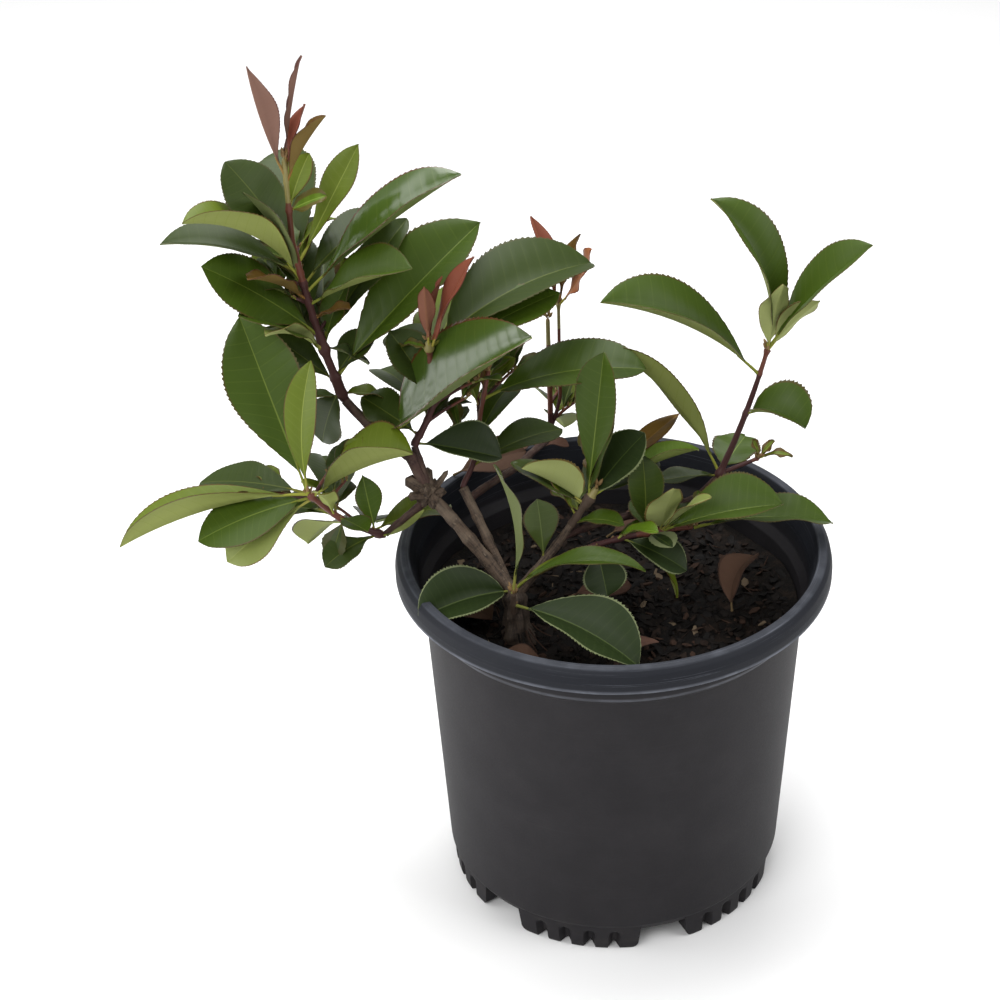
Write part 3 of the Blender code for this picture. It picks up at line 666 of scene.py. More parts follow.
def direction(heading: float, lift: float) -> Vector:
    """Unit vector along a heading and a lift in degrees."""
    turn, rise = math.radians(heading), math.radians(lift)
    level = math.cos(rise)
    return Vector((math.cos(turn) * level, math.sin(turn) * level, math.sin(rise)))


def turning(i: int) -> float:
    """Where the turning rule puts the i-th leaf in its spread, from -1 to 1."""
    return (i * FILL_TURN) % 360 / 360 * 2 - 1


def chord_frame(heading: float, lift: float, roll: float = 0) -> tuple[Vector, Vector, Vector]:
    """Directions of a chord that is rolled about itself.

    Args:
        heading: Its heading in degrees.
        lift: Its lift in degrees.
        roll: Its roll in degrees.

    Returns:
        Along, side and upper.
    """
    along = direction(heading, lift)
    turn = math.radians(heading)
    side = Vector((math.sin(turn), -math.cos(turn), 0))
    spin = Matrix.Rotation(math.radians(roll), 3, along)
    return along, spin @ side, spin @ side.cross(along)


def arc_point(share: float, length: float, arch: float) -> tuple[float, float, float]:
    """A point of an arc.

    Args:
        share: How far along, from 0 to 1.
        length: The chord's length.
        arch: How many degrees the arc turns.

    Returns:
        The run along the chord, the rise above it and the slope.
    """
    turn = math.radians(arch)
    if abs(turn) < STRAIGHT:
        return share * length, 0.0, 0.0
    half = turn / 2
    here = turn * (0.5 - share)
    scale = length / (2 * math.sin(half))
    run = (math.sin(half) - math.sin(here)) * scale
    return run, (math.cos(here) - math.cos(half)) * scale, here


def limb_path(start: Vector, arcs: list[Arc], step: float = LIMB_STEP) -> Path:
    """Points along a chain of arcs, each of which starts where the one before it ends.

    Args:
        start: The foot, in millimetres.
        arcs: The arcs.
        step: The longest distance between points.

    Returns:
        The points, in millimetres.
    """
    points = [Vector(start)]
    for arc in arcs:
        along, _, upper = chord_frame(arc.heading, arc.lift)
        foot = points[-1].copy()
        count = max(2, round(arc.length / step))
        for i in range(1, count + 1):
            run, rise, _ = arc_point(i / count, arc.length, arc.arch)
            points.append(foot + along * run + upper * rise)
    return points


def path_length(points: Path) -> float:
    """Length of a path."""
    return sum((b - a).length for a, b in zip(points, points[1:]))


def place_on(points: Path, share: float) -> tuple[Vector, Vector]:
    """Point and direction at a share of a path's length.

    Args:
        points: The path.
        share: The share, from 0 to 1.

    Returns:
        The point and the unit direction there.
    """
    rest = share * path_length(points)
    for a, b in zip(points, points[1:]):
        length = (b - a).length
        if rest <= length + 1e-6:
            return a.lerp(b, rest / length), (b - a).normalized()
        rest -= length
    return points[-1].copy(), (points[-1] - points[-2]).normalized()


def square_end(points: Path) -> Path:
    """Add a point 1 mm before the last, as the source does for its caps."""
    ahead = (points[-1] - points[-2]).normalized()
    return points[:-1] + [points[-1] - ahead, points[-1]]


def value_at(pairs: list[Range], share: float) -> float:
    """Value at a share, from (share, value) pairs with straight lines between them."""
    for (a, value_a), (b, value_b) in zip(pairs, pairs[1:]):
        if share <= b:
            return value_a + (value_b - value_a) * max(0.0, share - a) / (b - a)
    return pairs[-1][1]


# ---- mesh helpers


def finish_piece(
    name: str, bm: Mesh, finishes: list[bpy.types.Material], nodes: list[str],
    crease: float = 50,
) -> None:
    """Move a mesh from the pot's axis to the frame and write it to a piece on the body.

    Args:
        name: The piece's name.
        bm: Its mesh, which is freed.
        finishes: Its materials in the order of their slots.
        nodes: The model's nodes that it stands for.
        crease: Edges that turn more degrees than this stay sharp.
    """
    bmesh.ops.transform(bm, matrix=Matrix.Translation(POT_AXIS), verts=bm.verts)
    for face in bm.faces:
        face.smooth = True
    for edge in bm.edges:
        if len(edge.link_faces) == 2 and edge.calc_face_angle(0) > math.radians(crease):
            edge.smooth = False
    mesh = bpy.data.meshes.new(name)
    bm.to_mesh(mesh)
    bm.free()
    for finish in finishes:
        mesh.materials.append(finish)
    piece = bpy.data.objects.new(name, mesh)
    bpy.context.scene.collection.objects.link(piece)
    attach(piece, "root")
    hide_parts(*nodes)
    LOG.info("%s: %d faces", name, len(mesh.polygons))


def mapped_mesh() -> Mesh:
    """An empty mesh with the run map, for a piece that is joined from many parts."""
    bm = bmesh.new()
    bm.loops.layers.uv.new(RUN_MAP)
    return bm


def join_into(whole: Mesh, part: Mesh) -> None:
    """Add a mesh to a larger one and free it."""
    mesh = bpy.data.meshes.new("part")
    part.to_mesh(mesh)
    part.free()
    whole.from_mesh(mesh)
    bpy.data.meshes.remove(mesh)


def plan_grid(columns: int, rows: int) -> Mesh:
    """A flat grid whose x counts its columns from 0 and whose y counts its rows from 0.

    Args:
        columns: Faces along x.
        rows: Faces along y.

    Returns:
        The grid.
    """
    bm = bmesh.new()
    bmesh.ops.create_grid(bm, x_segments=columns, y_segments=rows, size=0.5)
    bmesh.ops.translate(bm, vec=(0.5, 0.5, 0), verts=bm.verts)
    bmesh.ops.scale(bm, vec=(columns, rows, 1), verts=bm.verts)
    for vert in bm.verts:
        vert.co.x, vert.co.y = round(vert.co.x), round(vert.co.y)
    return bm


def close_slab(bm: Mesh) -> None:
    """Make a flat plan the lower face of a closed slab, 1 thick."""
    upper = bmesh.ops.extrude_face_region(bm, geom=bm.faces[:], use_keep_orig=True)["geom"]
    raised = [item for item in upper if isinstance(item, bmesh.types.BMVert)]
    bmesh.ops.translate(bm, vec=(0, 0, 1), verts=raised)


def is_raised(spot: Vector) -> bool:
    """Whether a point of a slab is on its upper face."""
    return spot.z > 0.5


def turned(profile: list[Range], steps: int) -> Mesh:
    """A closed section, turned about the pot's axis.

    Args:
        profile: Radius and height of its corners, in millimetres.
        steps: Steps round the axis.

    Returns:
        The turned mesh, closed at its poles, whose faces don't all point outwards yet.
    """
    bm = bmesh.new()
    corners = [bm.verts.new((radius * MM, 0, height * MM)) for radius, height in profile]
    for a, b in zip(corners, corners[1:] + corners[:1]):
        bm.edges.new((a, b))
    bmesh.ops.spin(
        bm, geom=bm.verts[:] + bm.edges[:], cent=(0, 0, 0), axis=(0, 0, 1), dvec=(0, 0, 0),
        angle=2 * math.pi, steps=steps, use_merge=True, use_duplicate=False,
    )
    bmesh.ops.remove_doubles(bm, verts=bm.verts, dist=WELD)
    bmesh.ops.dissolve_degenerate(bm, edges=bm.edges, dist=WELD)
    return bm


def colour_made(made: list[bmesh.types.BMVert], slot: int) -> None:
    """Give the faces of a newly made form their material slot."""
    for face in {face for vert in made for face in vert.link_faces}:
        face.material_index = slot


def path_frames(points: Path) -> list[tuple[Vector, Vector, Vector]]:
    """Frames that follow a path without spinning.

    Args:
        points: The path.

    Returns:
        A point and two directions square to the path, for each point.
    """
    ahead = (points[1] - points[0]).normalized()
    normal = ahead.orthogonal().normalized()
    frames = []
    for i, point in enumerate(points):
        after = points[min(i + 1, len(points) - 1)]
        before = points[max(i - 1, 0)]
        ahead = (after - before).normalized()
        normal = (normal - ahead * normal.dot(ahead)).normalized()
        frames.append((point, normal, ahead.cross(normal)))
    return frames


@dataclass
class Sweep:
    """A round limb along a path, in millimetres, with the relief of its skin.

    Radii and tones are given by their share of its length. A pitch is how fine the furrows or
    lumps are round the limb and along it.
    """

    path: Path
    radii: list[Range]
    sides: int = 8
    relief: float = 0.0
    grain: float = 1.0
    swellings: tuple[float, ...] = ()
    swelling: float = 0.16
    swelling_run: float = 1.6
    seed: float = 0.0
    rounded: float = 0.0
    tones: tuple[tuple[float, int], ...] = ((1.0, 0),)
    furrow_pitch: Range = (0.42, 0.055)
    lump_pitch: Range = (1.1, 0.16)
    lump_share: float = 0.7
    least_end: float = 0.02
    total: float = field(default=0.0, init=False)

    def skin(self, share: float, turn: float, run: float) -> float:
        """Radius at a place on the limb.

        Args:
            share: The share of its length.
            turn: The angle round it.
            run: The length gone, in millimetres.

        Returns:
            The radius in millimetres.
        """
        radius = value_at(self.radii, share)
        for place in self.swellings:
            away = (share - place) * self.total / self.swelling_run
            radius *= 1 + self.swelling * math.exp(-away * away)
        if self.relief:
            cosine, sine = math.cos(turn), math.sin(turn)
            round_it = Vector((cosine, sine, 0)) * radius * self.furrow_pitch[0] * self.grain
            down = run * self.furrow_pitch[1] * self.grain
            furrow = noise.noise(round_it + Vector((self.seed, 0, down)))
            wide, long = self.lump_pitch
            lump = noise.noise(Vector((self.seed * 3, cosine * wide, run * long + sine)))
            radius *= 1 + self.relief * (furrow + self.lump_share * lump)
        if self.rounded and share > 1 - self.rounded:
            over = (share - 1 + self.rounded) / self.rounded
            radius *= math.sqrt(max(self.least_end, 1 - over * over))
        return radius

    def build(self) -> Mesh:
        """The limb as a closed mesh in metres, with its run map.

        Returns:
            The mesh.
        """
        count = len(self.path) - 1
        bm = plan_grid(count, self.sides)
        runs = [0.0]
        for a, b in zip(self.path, self.path[1:]):
            runs.append(runs[-1] + (b - a).length)
        self.total = runs[-1]
        around = 2 * math.pi * self.radii[0][1] / self.sides * MM
        run_map = bm.loops.layers.uv.new(RUN_MAP)
        for face in bm.faces:
            share = face.calc_center_median().x / count
            face.material_index = next((tone for last, tone in self.tones if share <= last), 0)
            for loop in face.loops:
                place = loop.vert.co
                loop[run_map].uv = (place.y * around, runs[round(place.x)] * MM)
        frames = path_frames(self.path)
        for vert in bm.verts:
            i, turn = round(vert.co.x), 2 * math.pi * vert.co.y / self.sides
            if round(vert.co.y) == self.sides:
                turn = 0.0
            middle, normal, across = frames[i]
            reach = self.skin(runs[i] / runs[-1], turn, runs[i])
            vert.co = (middle + (normal * math.cos(turn) + across * math.sin(turn)) * reach) * MM
        bmesh.ops.remove_doubles(bm, verts=bm.verts, dist=WELD)
        caps = bmesh.ops.holes_fill(bm, edges=[edge for edge in bm.edges if edge.is_boundary])
        for face in caps["faces"]:
            face.material_index = self.tones[-1][1]
        bmesh.ops.recalc_face_normals(bm, faces=bm.faces)
        return bm


# ---- one leaf


@dataclass
class Blade:
    """A leaf blade in plan, and the rule that bends it into place.

    The plan's places run from 0 to 1 along the blade and from -1 to 1 across it; depths and radii
    are in millimetres. A growth is how thin the midrib or stalk of the smallest leaf is, and how
    many millimetres of width or length bring it to its full size.
    """

    veins: int = 12
    columns: tuple[float, ...] = (-1, -0.975, -0.68, -0.34, -0.05, 0.05, 0.34, 0.68, 0.975, 1)
    vein_rows: tuple[float, ...] = (0.0, 0.09, 0.55)
    sweep_forward: float = 0.2
    sweep_run: float = 0.2
    tooth: float = 0.045
    widest: float = 1.06
    thickness: float = 0.34
    rib_half: float = 0.45
    rib_growth: Range = (0.35, 45)
    rib_depth: float = 0.42
    rib_taper: float = 0.78
    groove: float = 0.22
    bulge: float = 0.0028
    bulge_run: float = 0.99
    tip_thinning: float = 0.35
    tooth_lean: float = 0.18
    ripples: Range = (1.2, 2.6)
    ripple_phase: Range = (0, 6.3)
    ripple_height: Range = (0.2, 1.0)
    swing: float = 0.02
    fold_sides: Range = (1.12, 0.32)
    point: Range = (0.9, 0.1)
    point_pinch: float = 0.35
    stalk_radius: float = 0.85
    stalk_growth: Range = (0.45, 120)
    stalk_reach: float = 1.5
    stalk_form: tuple[Range, ...] = ((0, 1.25), (0.25, 1), (0.7, 0.85))
    stalk_tip: float = 0.35
    stalk_steps: int = 4
    stalk_drop: float = 0.35
    plan: Mesh = field(init=False)

    def __post_init__(self) -> None:
        """Draw the plan once."""
        self.plan = self.draw()

    def row_place(self, row: int) -> float:
        """Place of a row along the midrib, from 0 at the blade's foot to 1 at its tip."""
        whole, rest = divmod(row, len(self.vein_rows))
        return min(1.0, (whole + self.vein_rows[rest]) / self.veins)

    def draw(self) -> Mesh:
        """The blade in plan: x along, y across and z from its under face to its upper one.

        Returns:
            The plan, with each face's material index naming its part.
        """
        rows = self.veins * len(self.vein_rows)
        bm = plan_grid(rows, len(self.columns) - 1)
        for face in bm.faces:
            middle = face.calc_center_median()
            in_vein = math.floor(middle.x) % len(self.vein_rows) == 0
            across = math.floor(middle.y)
            if across == (len(self.columns) - 1) // 2:
                face.material_index = Part.LOWER_RIB.value
            elif across in (0, len(self.columns) - 2):
                face.material_index = Part.RIM.value
            else:
                face.material_index = (Part.LOWER_RIB if in_vein else Part.LOWER).value
        for vert in bm.verts:
            vert.co.x = self.row_place(round(vert.co.x))
            vert.co.y = self.columns[round(vert.co.y)]
        rim = [edge for edge in bm.edges if all(abs(vert.co.y) == 1 for vert in edge.verts)]
        cut = bmesh.ops.subdivide_edges(bm, edges=rim, cuts=1)
        for vert in [item for item in cut["geom_inner"] if isinstance(item, bmesh.types.BMVert)]:
            vert.co.y *= 1 + self.tooth
            vert.co.x = min(1.0, vert.co.x + self.tooth_lean / rows)
        close_slab(bm)
        turn = {Part.LOWER.value: Part.UPPER.value, Part.LOWER_RIB.value: Part.UPPER_VEIN.value}
        for face in bm.faces:
            if all(is_raised(vert.co) for vert in face.verts):
                face.material_index = turn.get(face.material_index, face.material_index)
                if abs(face.calc_center_median().y) < self.rib_column / 2:
                    face.material_index = Part.RIB.value
            elif any(is_raised(vert.co) for vert in face.verts):
                face.material_index = Part.RIM.value
        return bm

    @property
    def rib_column(self) -> float:
        """Where the midrib's side is across the plan, the half width being 1."""
        return self.columns[len(self.columns) // 2]

    def half_width(self, share: float, form: Form) -> float:
        """Half the blade's width as a part of its widest, with its short point."""
        shift, fullness = form.value
        start, run = self.point
        width = max(0.0, math.sin(math.pi * min(1.0, share) ** shift)) ** fullness
        return width * (1 - self.point_pinch * max(0.0, (share - start) / run) ** 2)

    def bend(self, leaf: Leaf, foot: Vector, draw: random.Random) -> Callable[[Vector], Vector]:
        """The rule that takes a point of the plan to its place on one leaf.

        Args:
            leaf: The leaf.
            foot: Where its stalk leaves the stem, in millimetres.
            draw: The leaf's own seeded numbers.

        Returns:
            A function from plan to place, in metres.
        """
        along, side, upper = chord_frame(leaf.heading, leaf.lift, leaf.roll)
        wide = leaf.width * WIDTH_FACTOR / 2
        ripples, phase = draw.uniform(*self.ripples), draw.uniform(*self.ripple_phase)
        height = draw.uniform(*self.ripple_height) * leaf.wave
        swing = draw.uniform(-1, 1) * self.swing * leaf.length * leaf.wave
        rib_half = self.rib_half * min(1.0, self.rib_growth[0] + leaf.width / self.rib_growth[1])
        fold = math.radians(leaf.fold)
        inner = self.rib_column

        def place(spot: Vector) -> Vector:
            """Place of one point of the plan."""
            sign = 1 if spot.y >= 0 else -1
            out_t = min(self.widest, abs(spot.y))
            # The mesh rounds its numbers, so the midrib's side is met within a hundredth
            on_rib = out_t <= inner * 1.01
            # The veins sweep forward, less so at the blade's foot and tip
            ahead = self.sweep_forward * min(1.0, spot.x / self.sweep_run) * (1 - spot.x) * out_t
            share = min(1.0, spot.x + ahead)
            whole = PETIOLE_SHARE + (1 - PETIOLE_SHARE) * share
            run, rise, slope = arc_point(whole, leaf.length, leaf.arch)
            out = upper * math.cos(slope) - along * math.sin(slope)
            middle = foot + along * run + upper * rise
            middle += side * (swing * math.sin(math.pi * share))
            # Across: the midrib keeps its own width and the blade takes the rest
            rib = rib_half * (1 - self.rib_taper * share)
            half = max(rib * 1.02, wide * self.half_width(share, leaf.form))
            if out_t <= inner:
                reach = rib * out_t / inner
            else:
                reach = rib + (out_t - inner) / (1 - inner) * (half - rib)
            angle = fold * (self.fold_sides[0] - self.fold_sides[1] * out_t)
            across = side * (math.cos(angle) * reach * sign) + out * (math.sin(angle) * reach)
            face = (out * math.cos(angle) - side * (math.sin(angle) * sign)).normalized()
            # The blade swells between its veins and ripples towards its rim
            between = (spot.x * self.veins) % 1
            swell = math.sin(math.pi * min(1.0, between / self.bulge_run)) if out_t > inner else 0.0
            swell *= math.sin(math.pi * min(1.0, out_t))
            lift = self.bulge * leaf.length * swell
            wave = math.sin(ripples * 2 * math.pi * share + phase + sign)
            lift += height * out_t ** 2 * wave
            if is_raised(spot):
                lift -= self.groove if on_rib else 0.0
            else:
                depth = self.thickness + (self.rib_depth if on_rib else 0.0)
                lift -= depth * (1 - self.tip_thinning * share)
            return (middle + across + face * lift) * MM

        return place

    def grow(self, foot: Vector, leaf: Leaf, first_slot: int, name: str) -> Mesh:
        """One leaf with its stalk.

        Args:
            foot: Where its stalk leaves the stem, in millimetres.
            leaf: The leaf.
            first_slot: The slot of its colour's first material.
            name: What its seeded numbers are drawn from.

        Returns:
            The leaf as closed meshes.
        """
        draw = random.Random(name)
        bm = self.plan.copy()
        place = self.bend(leaf, foot, draw)
        for vert in bm.verts:
            vert.co = place(vert.co)
        for face in bm.faces:
            face.material_index += first_slot
        bmesh.ops.remove_doubles(bm, verts=bm.verts, dist=WELD)
        bmesh.ops.recalc_face_normals(bm, faces=bm.faces)
        along, _, upper = chord_frame(leaf.heading, leaf.lift, leaf.roll)
        path = []
        for i in range(self.stalk_steps + 1):
            share = PETIOLE_SHARE * self.stalk_reach * i / self.stalk_steps
            run, rise, _ = arc_point(share, leaf.length, leaf.arch)
            path.append(foot + along * run + upper * (rise - self.stalk_drop))
        least, full = self.stalk_growth
        thick = self.stalk_radius * min(1.0, least + leaf.length / full)
        radii = [(share, thick * part) for share, part in self.stalk_form]
        radii.append((1, self.stalk_tip))
        tones = ((1.0, first_slot + Part.STALK.value),)
        join_into(bm, Sweep(path, radii, 6, tones=tones).build())
        return bm


# ---- wood


# The pot's axis at ground level, in the frame
POT_AXIS = (Vector(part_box("pot")[0]) + Vector(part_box("pot")[1])) / 2
POT_AXIS.z = 0.0

TRUNK_ARCS = [Arc(108, 79, 27)]
TRUNK_RADII = [(0, 9.5), (0.16, 7.6), (0.4, 5.8), (0.75, 5.2), (1, 5.6)]


@dataclass(frozen=True)
class Bough:
    """A woody limb: where it leaves its parent, its bends and its foot and tip radius."""

    name: str
    parent: str
    share: float
    arcs: tuple[Arc, ...]
    foot: float
    tip: float
    finish: BarkFinish = BOUGH
    relief: float = 0.1


@dataclass
class Wood:
    """Trunk, stems, boughs and knot, each a mesh with the bark's own relief."""

    boughs: tuple[Bough, ...] = (
        Bough("left_stem_front", "trunk", 0.93, (Arc(149, 41, 67, 6),), 3.4, 3.1, WOOD, 0.2),
        Bough("left_stem_back", "trunk", 0.78, (Arc(128, 47, 64, 8),), 2.8, 2.4, WOOD, 0.2),
        Bough(
            "right_stem", "trunk", 0.88, (Arc(40, 33, 27, -10), Arc(31, 46, 20, -6)), 2.9, 2.2,
            WOOD, 0.16,
        ),
        Bough(
            "tall_bough", "left_stem_front", 1.0,
            (Arc(146, 58, 22), Arc(163, 39, 44, -20)), 3.0, 2.4,
        ),
        Bough("side_bough", "left_stem_front", 0.98, (Arc(-160, -35, 31),), 2.2, 1.8),
        Bough("middle_bough", "left_stem_front", 1.0, (Arc(128, 62, 26),), 2.4, 1.9),
        Bough(
            "rear_bough", "left_stem_back", 0.90,
            (Arc(61, -8, 45, 6), Arc(69, -10, 47, 6)), 2.1, 1.8,
        ),
        Bough("low_bough", "right_stem", 0.42, (Arc(9, 20, 27, 6),), 1.9, 1.6),
        Bough(
            "right_bough", "right_stem", 0.86,
            (Arc(36, -5, 42, 10), Arc(24, 2, 40, -20), Arc(4, 48, 16)), 2.1, 1.9,
        ),
    )
    bough_flare: float = 1.12
    flare_run: float = 0.08
    bough_nodes: tuple[float, ...] = (0.14, 0.34, 0.54, 0.74)
    trunk_nodes: tuple[float, ...] = (0.55, 0.8)
    trunk_sunk: float = 3.0
    trunk_flare: float = 11.0
    trunk_start: float = 0.09
    knot_radius: float = 6.4
    knot_lumps: float = 0.5
    knot_pits: float = 0.26
    knot_pitch: Range = (0.24, 0.75)
    knot_wrap: float = 8
    stub_form: tuple[Range, ...] = ((0, 1.8), (0.5, 1), (1, 0.86))
    knot_stubs: tuple[tuple[float, ...], ...] = (
        (168, 32, 15, 3.7), (215, 14, 13, 2.6), (262, 50, 12, 2.0), (20, 50, 16, 1.7),
        (100, 60, 14, 2.2), (240, -30, 8, 1.8), (330, 34, 11, 1.4),
    )
    paths: dict[str, Path] = field(default_factory=dict)

    def build(self) -> dict[str, Path]:
        """Make every limb.

        Returns:
            The limbs' paths by name, in millimetres, for the shoots to grow on from.
        """
        self.paths["trunk"] = limb_path(Vector(TRUNK_FOOT), TRUNK_ARCS, 5)
        self.build_trunk()
        for seed, bough in enumerate(self.boughs):
            start, _ = place_on(self.paths[bough.parent], bough.share)
            self.paths[bough.name] = square_end(limb_path(start, list(bough.arcs)))
            fine = limb_path(start, list(bough.arcs), FINE_STEP)
            radii = [(0, bough.foot * self.bough_flare), (self.flare_run, bough.foot)]
            radii.append((1, bough.tip))
            sweep = Sweep(
                fine, radii, 16, bough.relief, grain=1.3, swellings=self.bough_nodes,
                swelling=0.12, swelling_run=1.8, seed=seed * 7.3,
            )
            finish = bough.finish.material()
            finish_piece("bark_" + bough.name, sweep.build(), [finish], [bough.name])
        self.build_knot(self.paths["left_stem_front"][-1])
        return self.paths

    def build_trunk(self) -> None:
        """The short leaning trunk with the flare of its foot sunk in the bark mix."""
        foot = Vector(TRUNK_FOOT)
        path = [foot - Vector((0, 0, self.trunk_sunk))] + limb_path(foot, TRUNK_ARCS, 1.1)
        start = self.trunk_start
        radii = [(0, self.trunk_flare)]
        radii += [(start + (1 - start) * share, radius) for share, radius in TRUNK_RADII]
        sweep = Sweep(
            path, radii, 36, 0.42, swellings=self.trunk_nodes, swelling=0.12, swelling_run=3.0,
            seed=2.0, rounded=0.12,
        )
        finish_piece("bark_trunk", sweep.build(), [FOOT.material()], ["trunk"])

    def build_knot(self, centre: Vector) -> None:
        """The gnarled knot at the end of the front stem, with its cut stubs.

        Args:
            centre: Its middle, in millimetres.
        """
        bm = bmesh.new()
        bmesh.ops.create_icosphere(bm, subdivisions=4, radius=self.knot_radius)
        for vert in bm.verts:
            lump = noise.noise(vert.co * self.knot_pitch[0] + Vector((4, 1, 7)))
            pit = noise.noise(vert.co * self.knot_pitch[1] + Vector((1, 5, 2)))
            size = 1 + self.knot_lumps * lump + self.knot_pits * pit
            vert.co = (vert.co * size + centre) * MM
        self.wrap(bm, centre * MM)
        for i, (heading, lift, reach, radius) in enumerate(self.knot_stubs):
            tip = centre + direction(heading, lift) * reach
            path = [centre.lerp(tip, step / 8) for step in range(9)]
            radii = [(share, radius * part) for share, part in self.stub_form]
            stub = Sweep(path, radii, 12, 0.34, grain=1.2, seed=i * 5.0, rounded=0.05)
            join_into(bm, stub.build())
        finish_piece("bark_knot", bm, [WOOD.material()], ["knot"])

    def wrap(self, bm: Mesh, centre: Vector) -> None:
        """Lay the run map over the knot's ball by turning about its middle.

        Args:
            bm: The ball.
            centre: Its middle, in metres.
        """
        run = bm.loops.layers.uv.new(RUN_MAP)
        for face in bm.faces:
            for loop in face.loops:
                away = loop.vert.co - centre
                loop[run].uv = (math.atan2(away.y, away.x) * self.knot_wrap * MM, away.z)


# ---- shoots and leaves


@dataclass(frozen=True)
class SprigRule:
    """How the short leafy side twigs of the far side grow, in millimetres and degrees."""

    tries: int = 3
    heading: float = 90
    spread: float = 80
    lift: Range = (0, 40)
    first: float = 0.1
    run: float = 0.85
    length: Range = (14, 30)
    arch: float = 14
    step: float = 4
    radii: Range = (1.0, 0.7)
    leaf_places: tuple[float, ...] = (0.4, 0.6, 0.8, 0.95, 1.0)
    leaf_length: Range = (16, 30)
    leaf_turn: Range = (15, 70)
    leaf_rise: Range = (-10, 40)
    leaf_slender: Range = (0.36, 0.5)
    leaf_arch: Range = (10, 50)
    leaf_roll: Range = (-20, 20)


@dataclass(frozen=True)
class BudRule:
    """The form of the buds at the leaves' feet and of the scales round a shoot's end."""

    form: Triple = (0.5, 0.42, 1.0)
    pinch: float = 0.6
    steepest: float = 88
    stand: float = 1.3
    size: float = 1.5
    least_lift: float = 20
    lean: float = 25
    scales: int = 5
    scale_place: Range = (0, 3)
    scale_lift: Range = (48, 80)
    scale_size: Range = (1.5, 2.3)
    widest_tip: float = 1.2


@dataclass
class Mass:
    """A mass of foliage: the bough that it grows on from, its stem and its leaves."""

    name: str
    bough: str
    arcs: list[Arc]
    foot_radius: float
    tip_radius: float
    twigs: list[tuple[float, list[Arc], float, float]]
    leaves: list[Leaf]
    fill: Fill
    offset: Triple | None = None
    tones: tuple[tuple[float, Twig], ...] = ((0.45, Twig.PURPLE), (1.0, Twig.CRIMSON))
    sprigs: int = 0


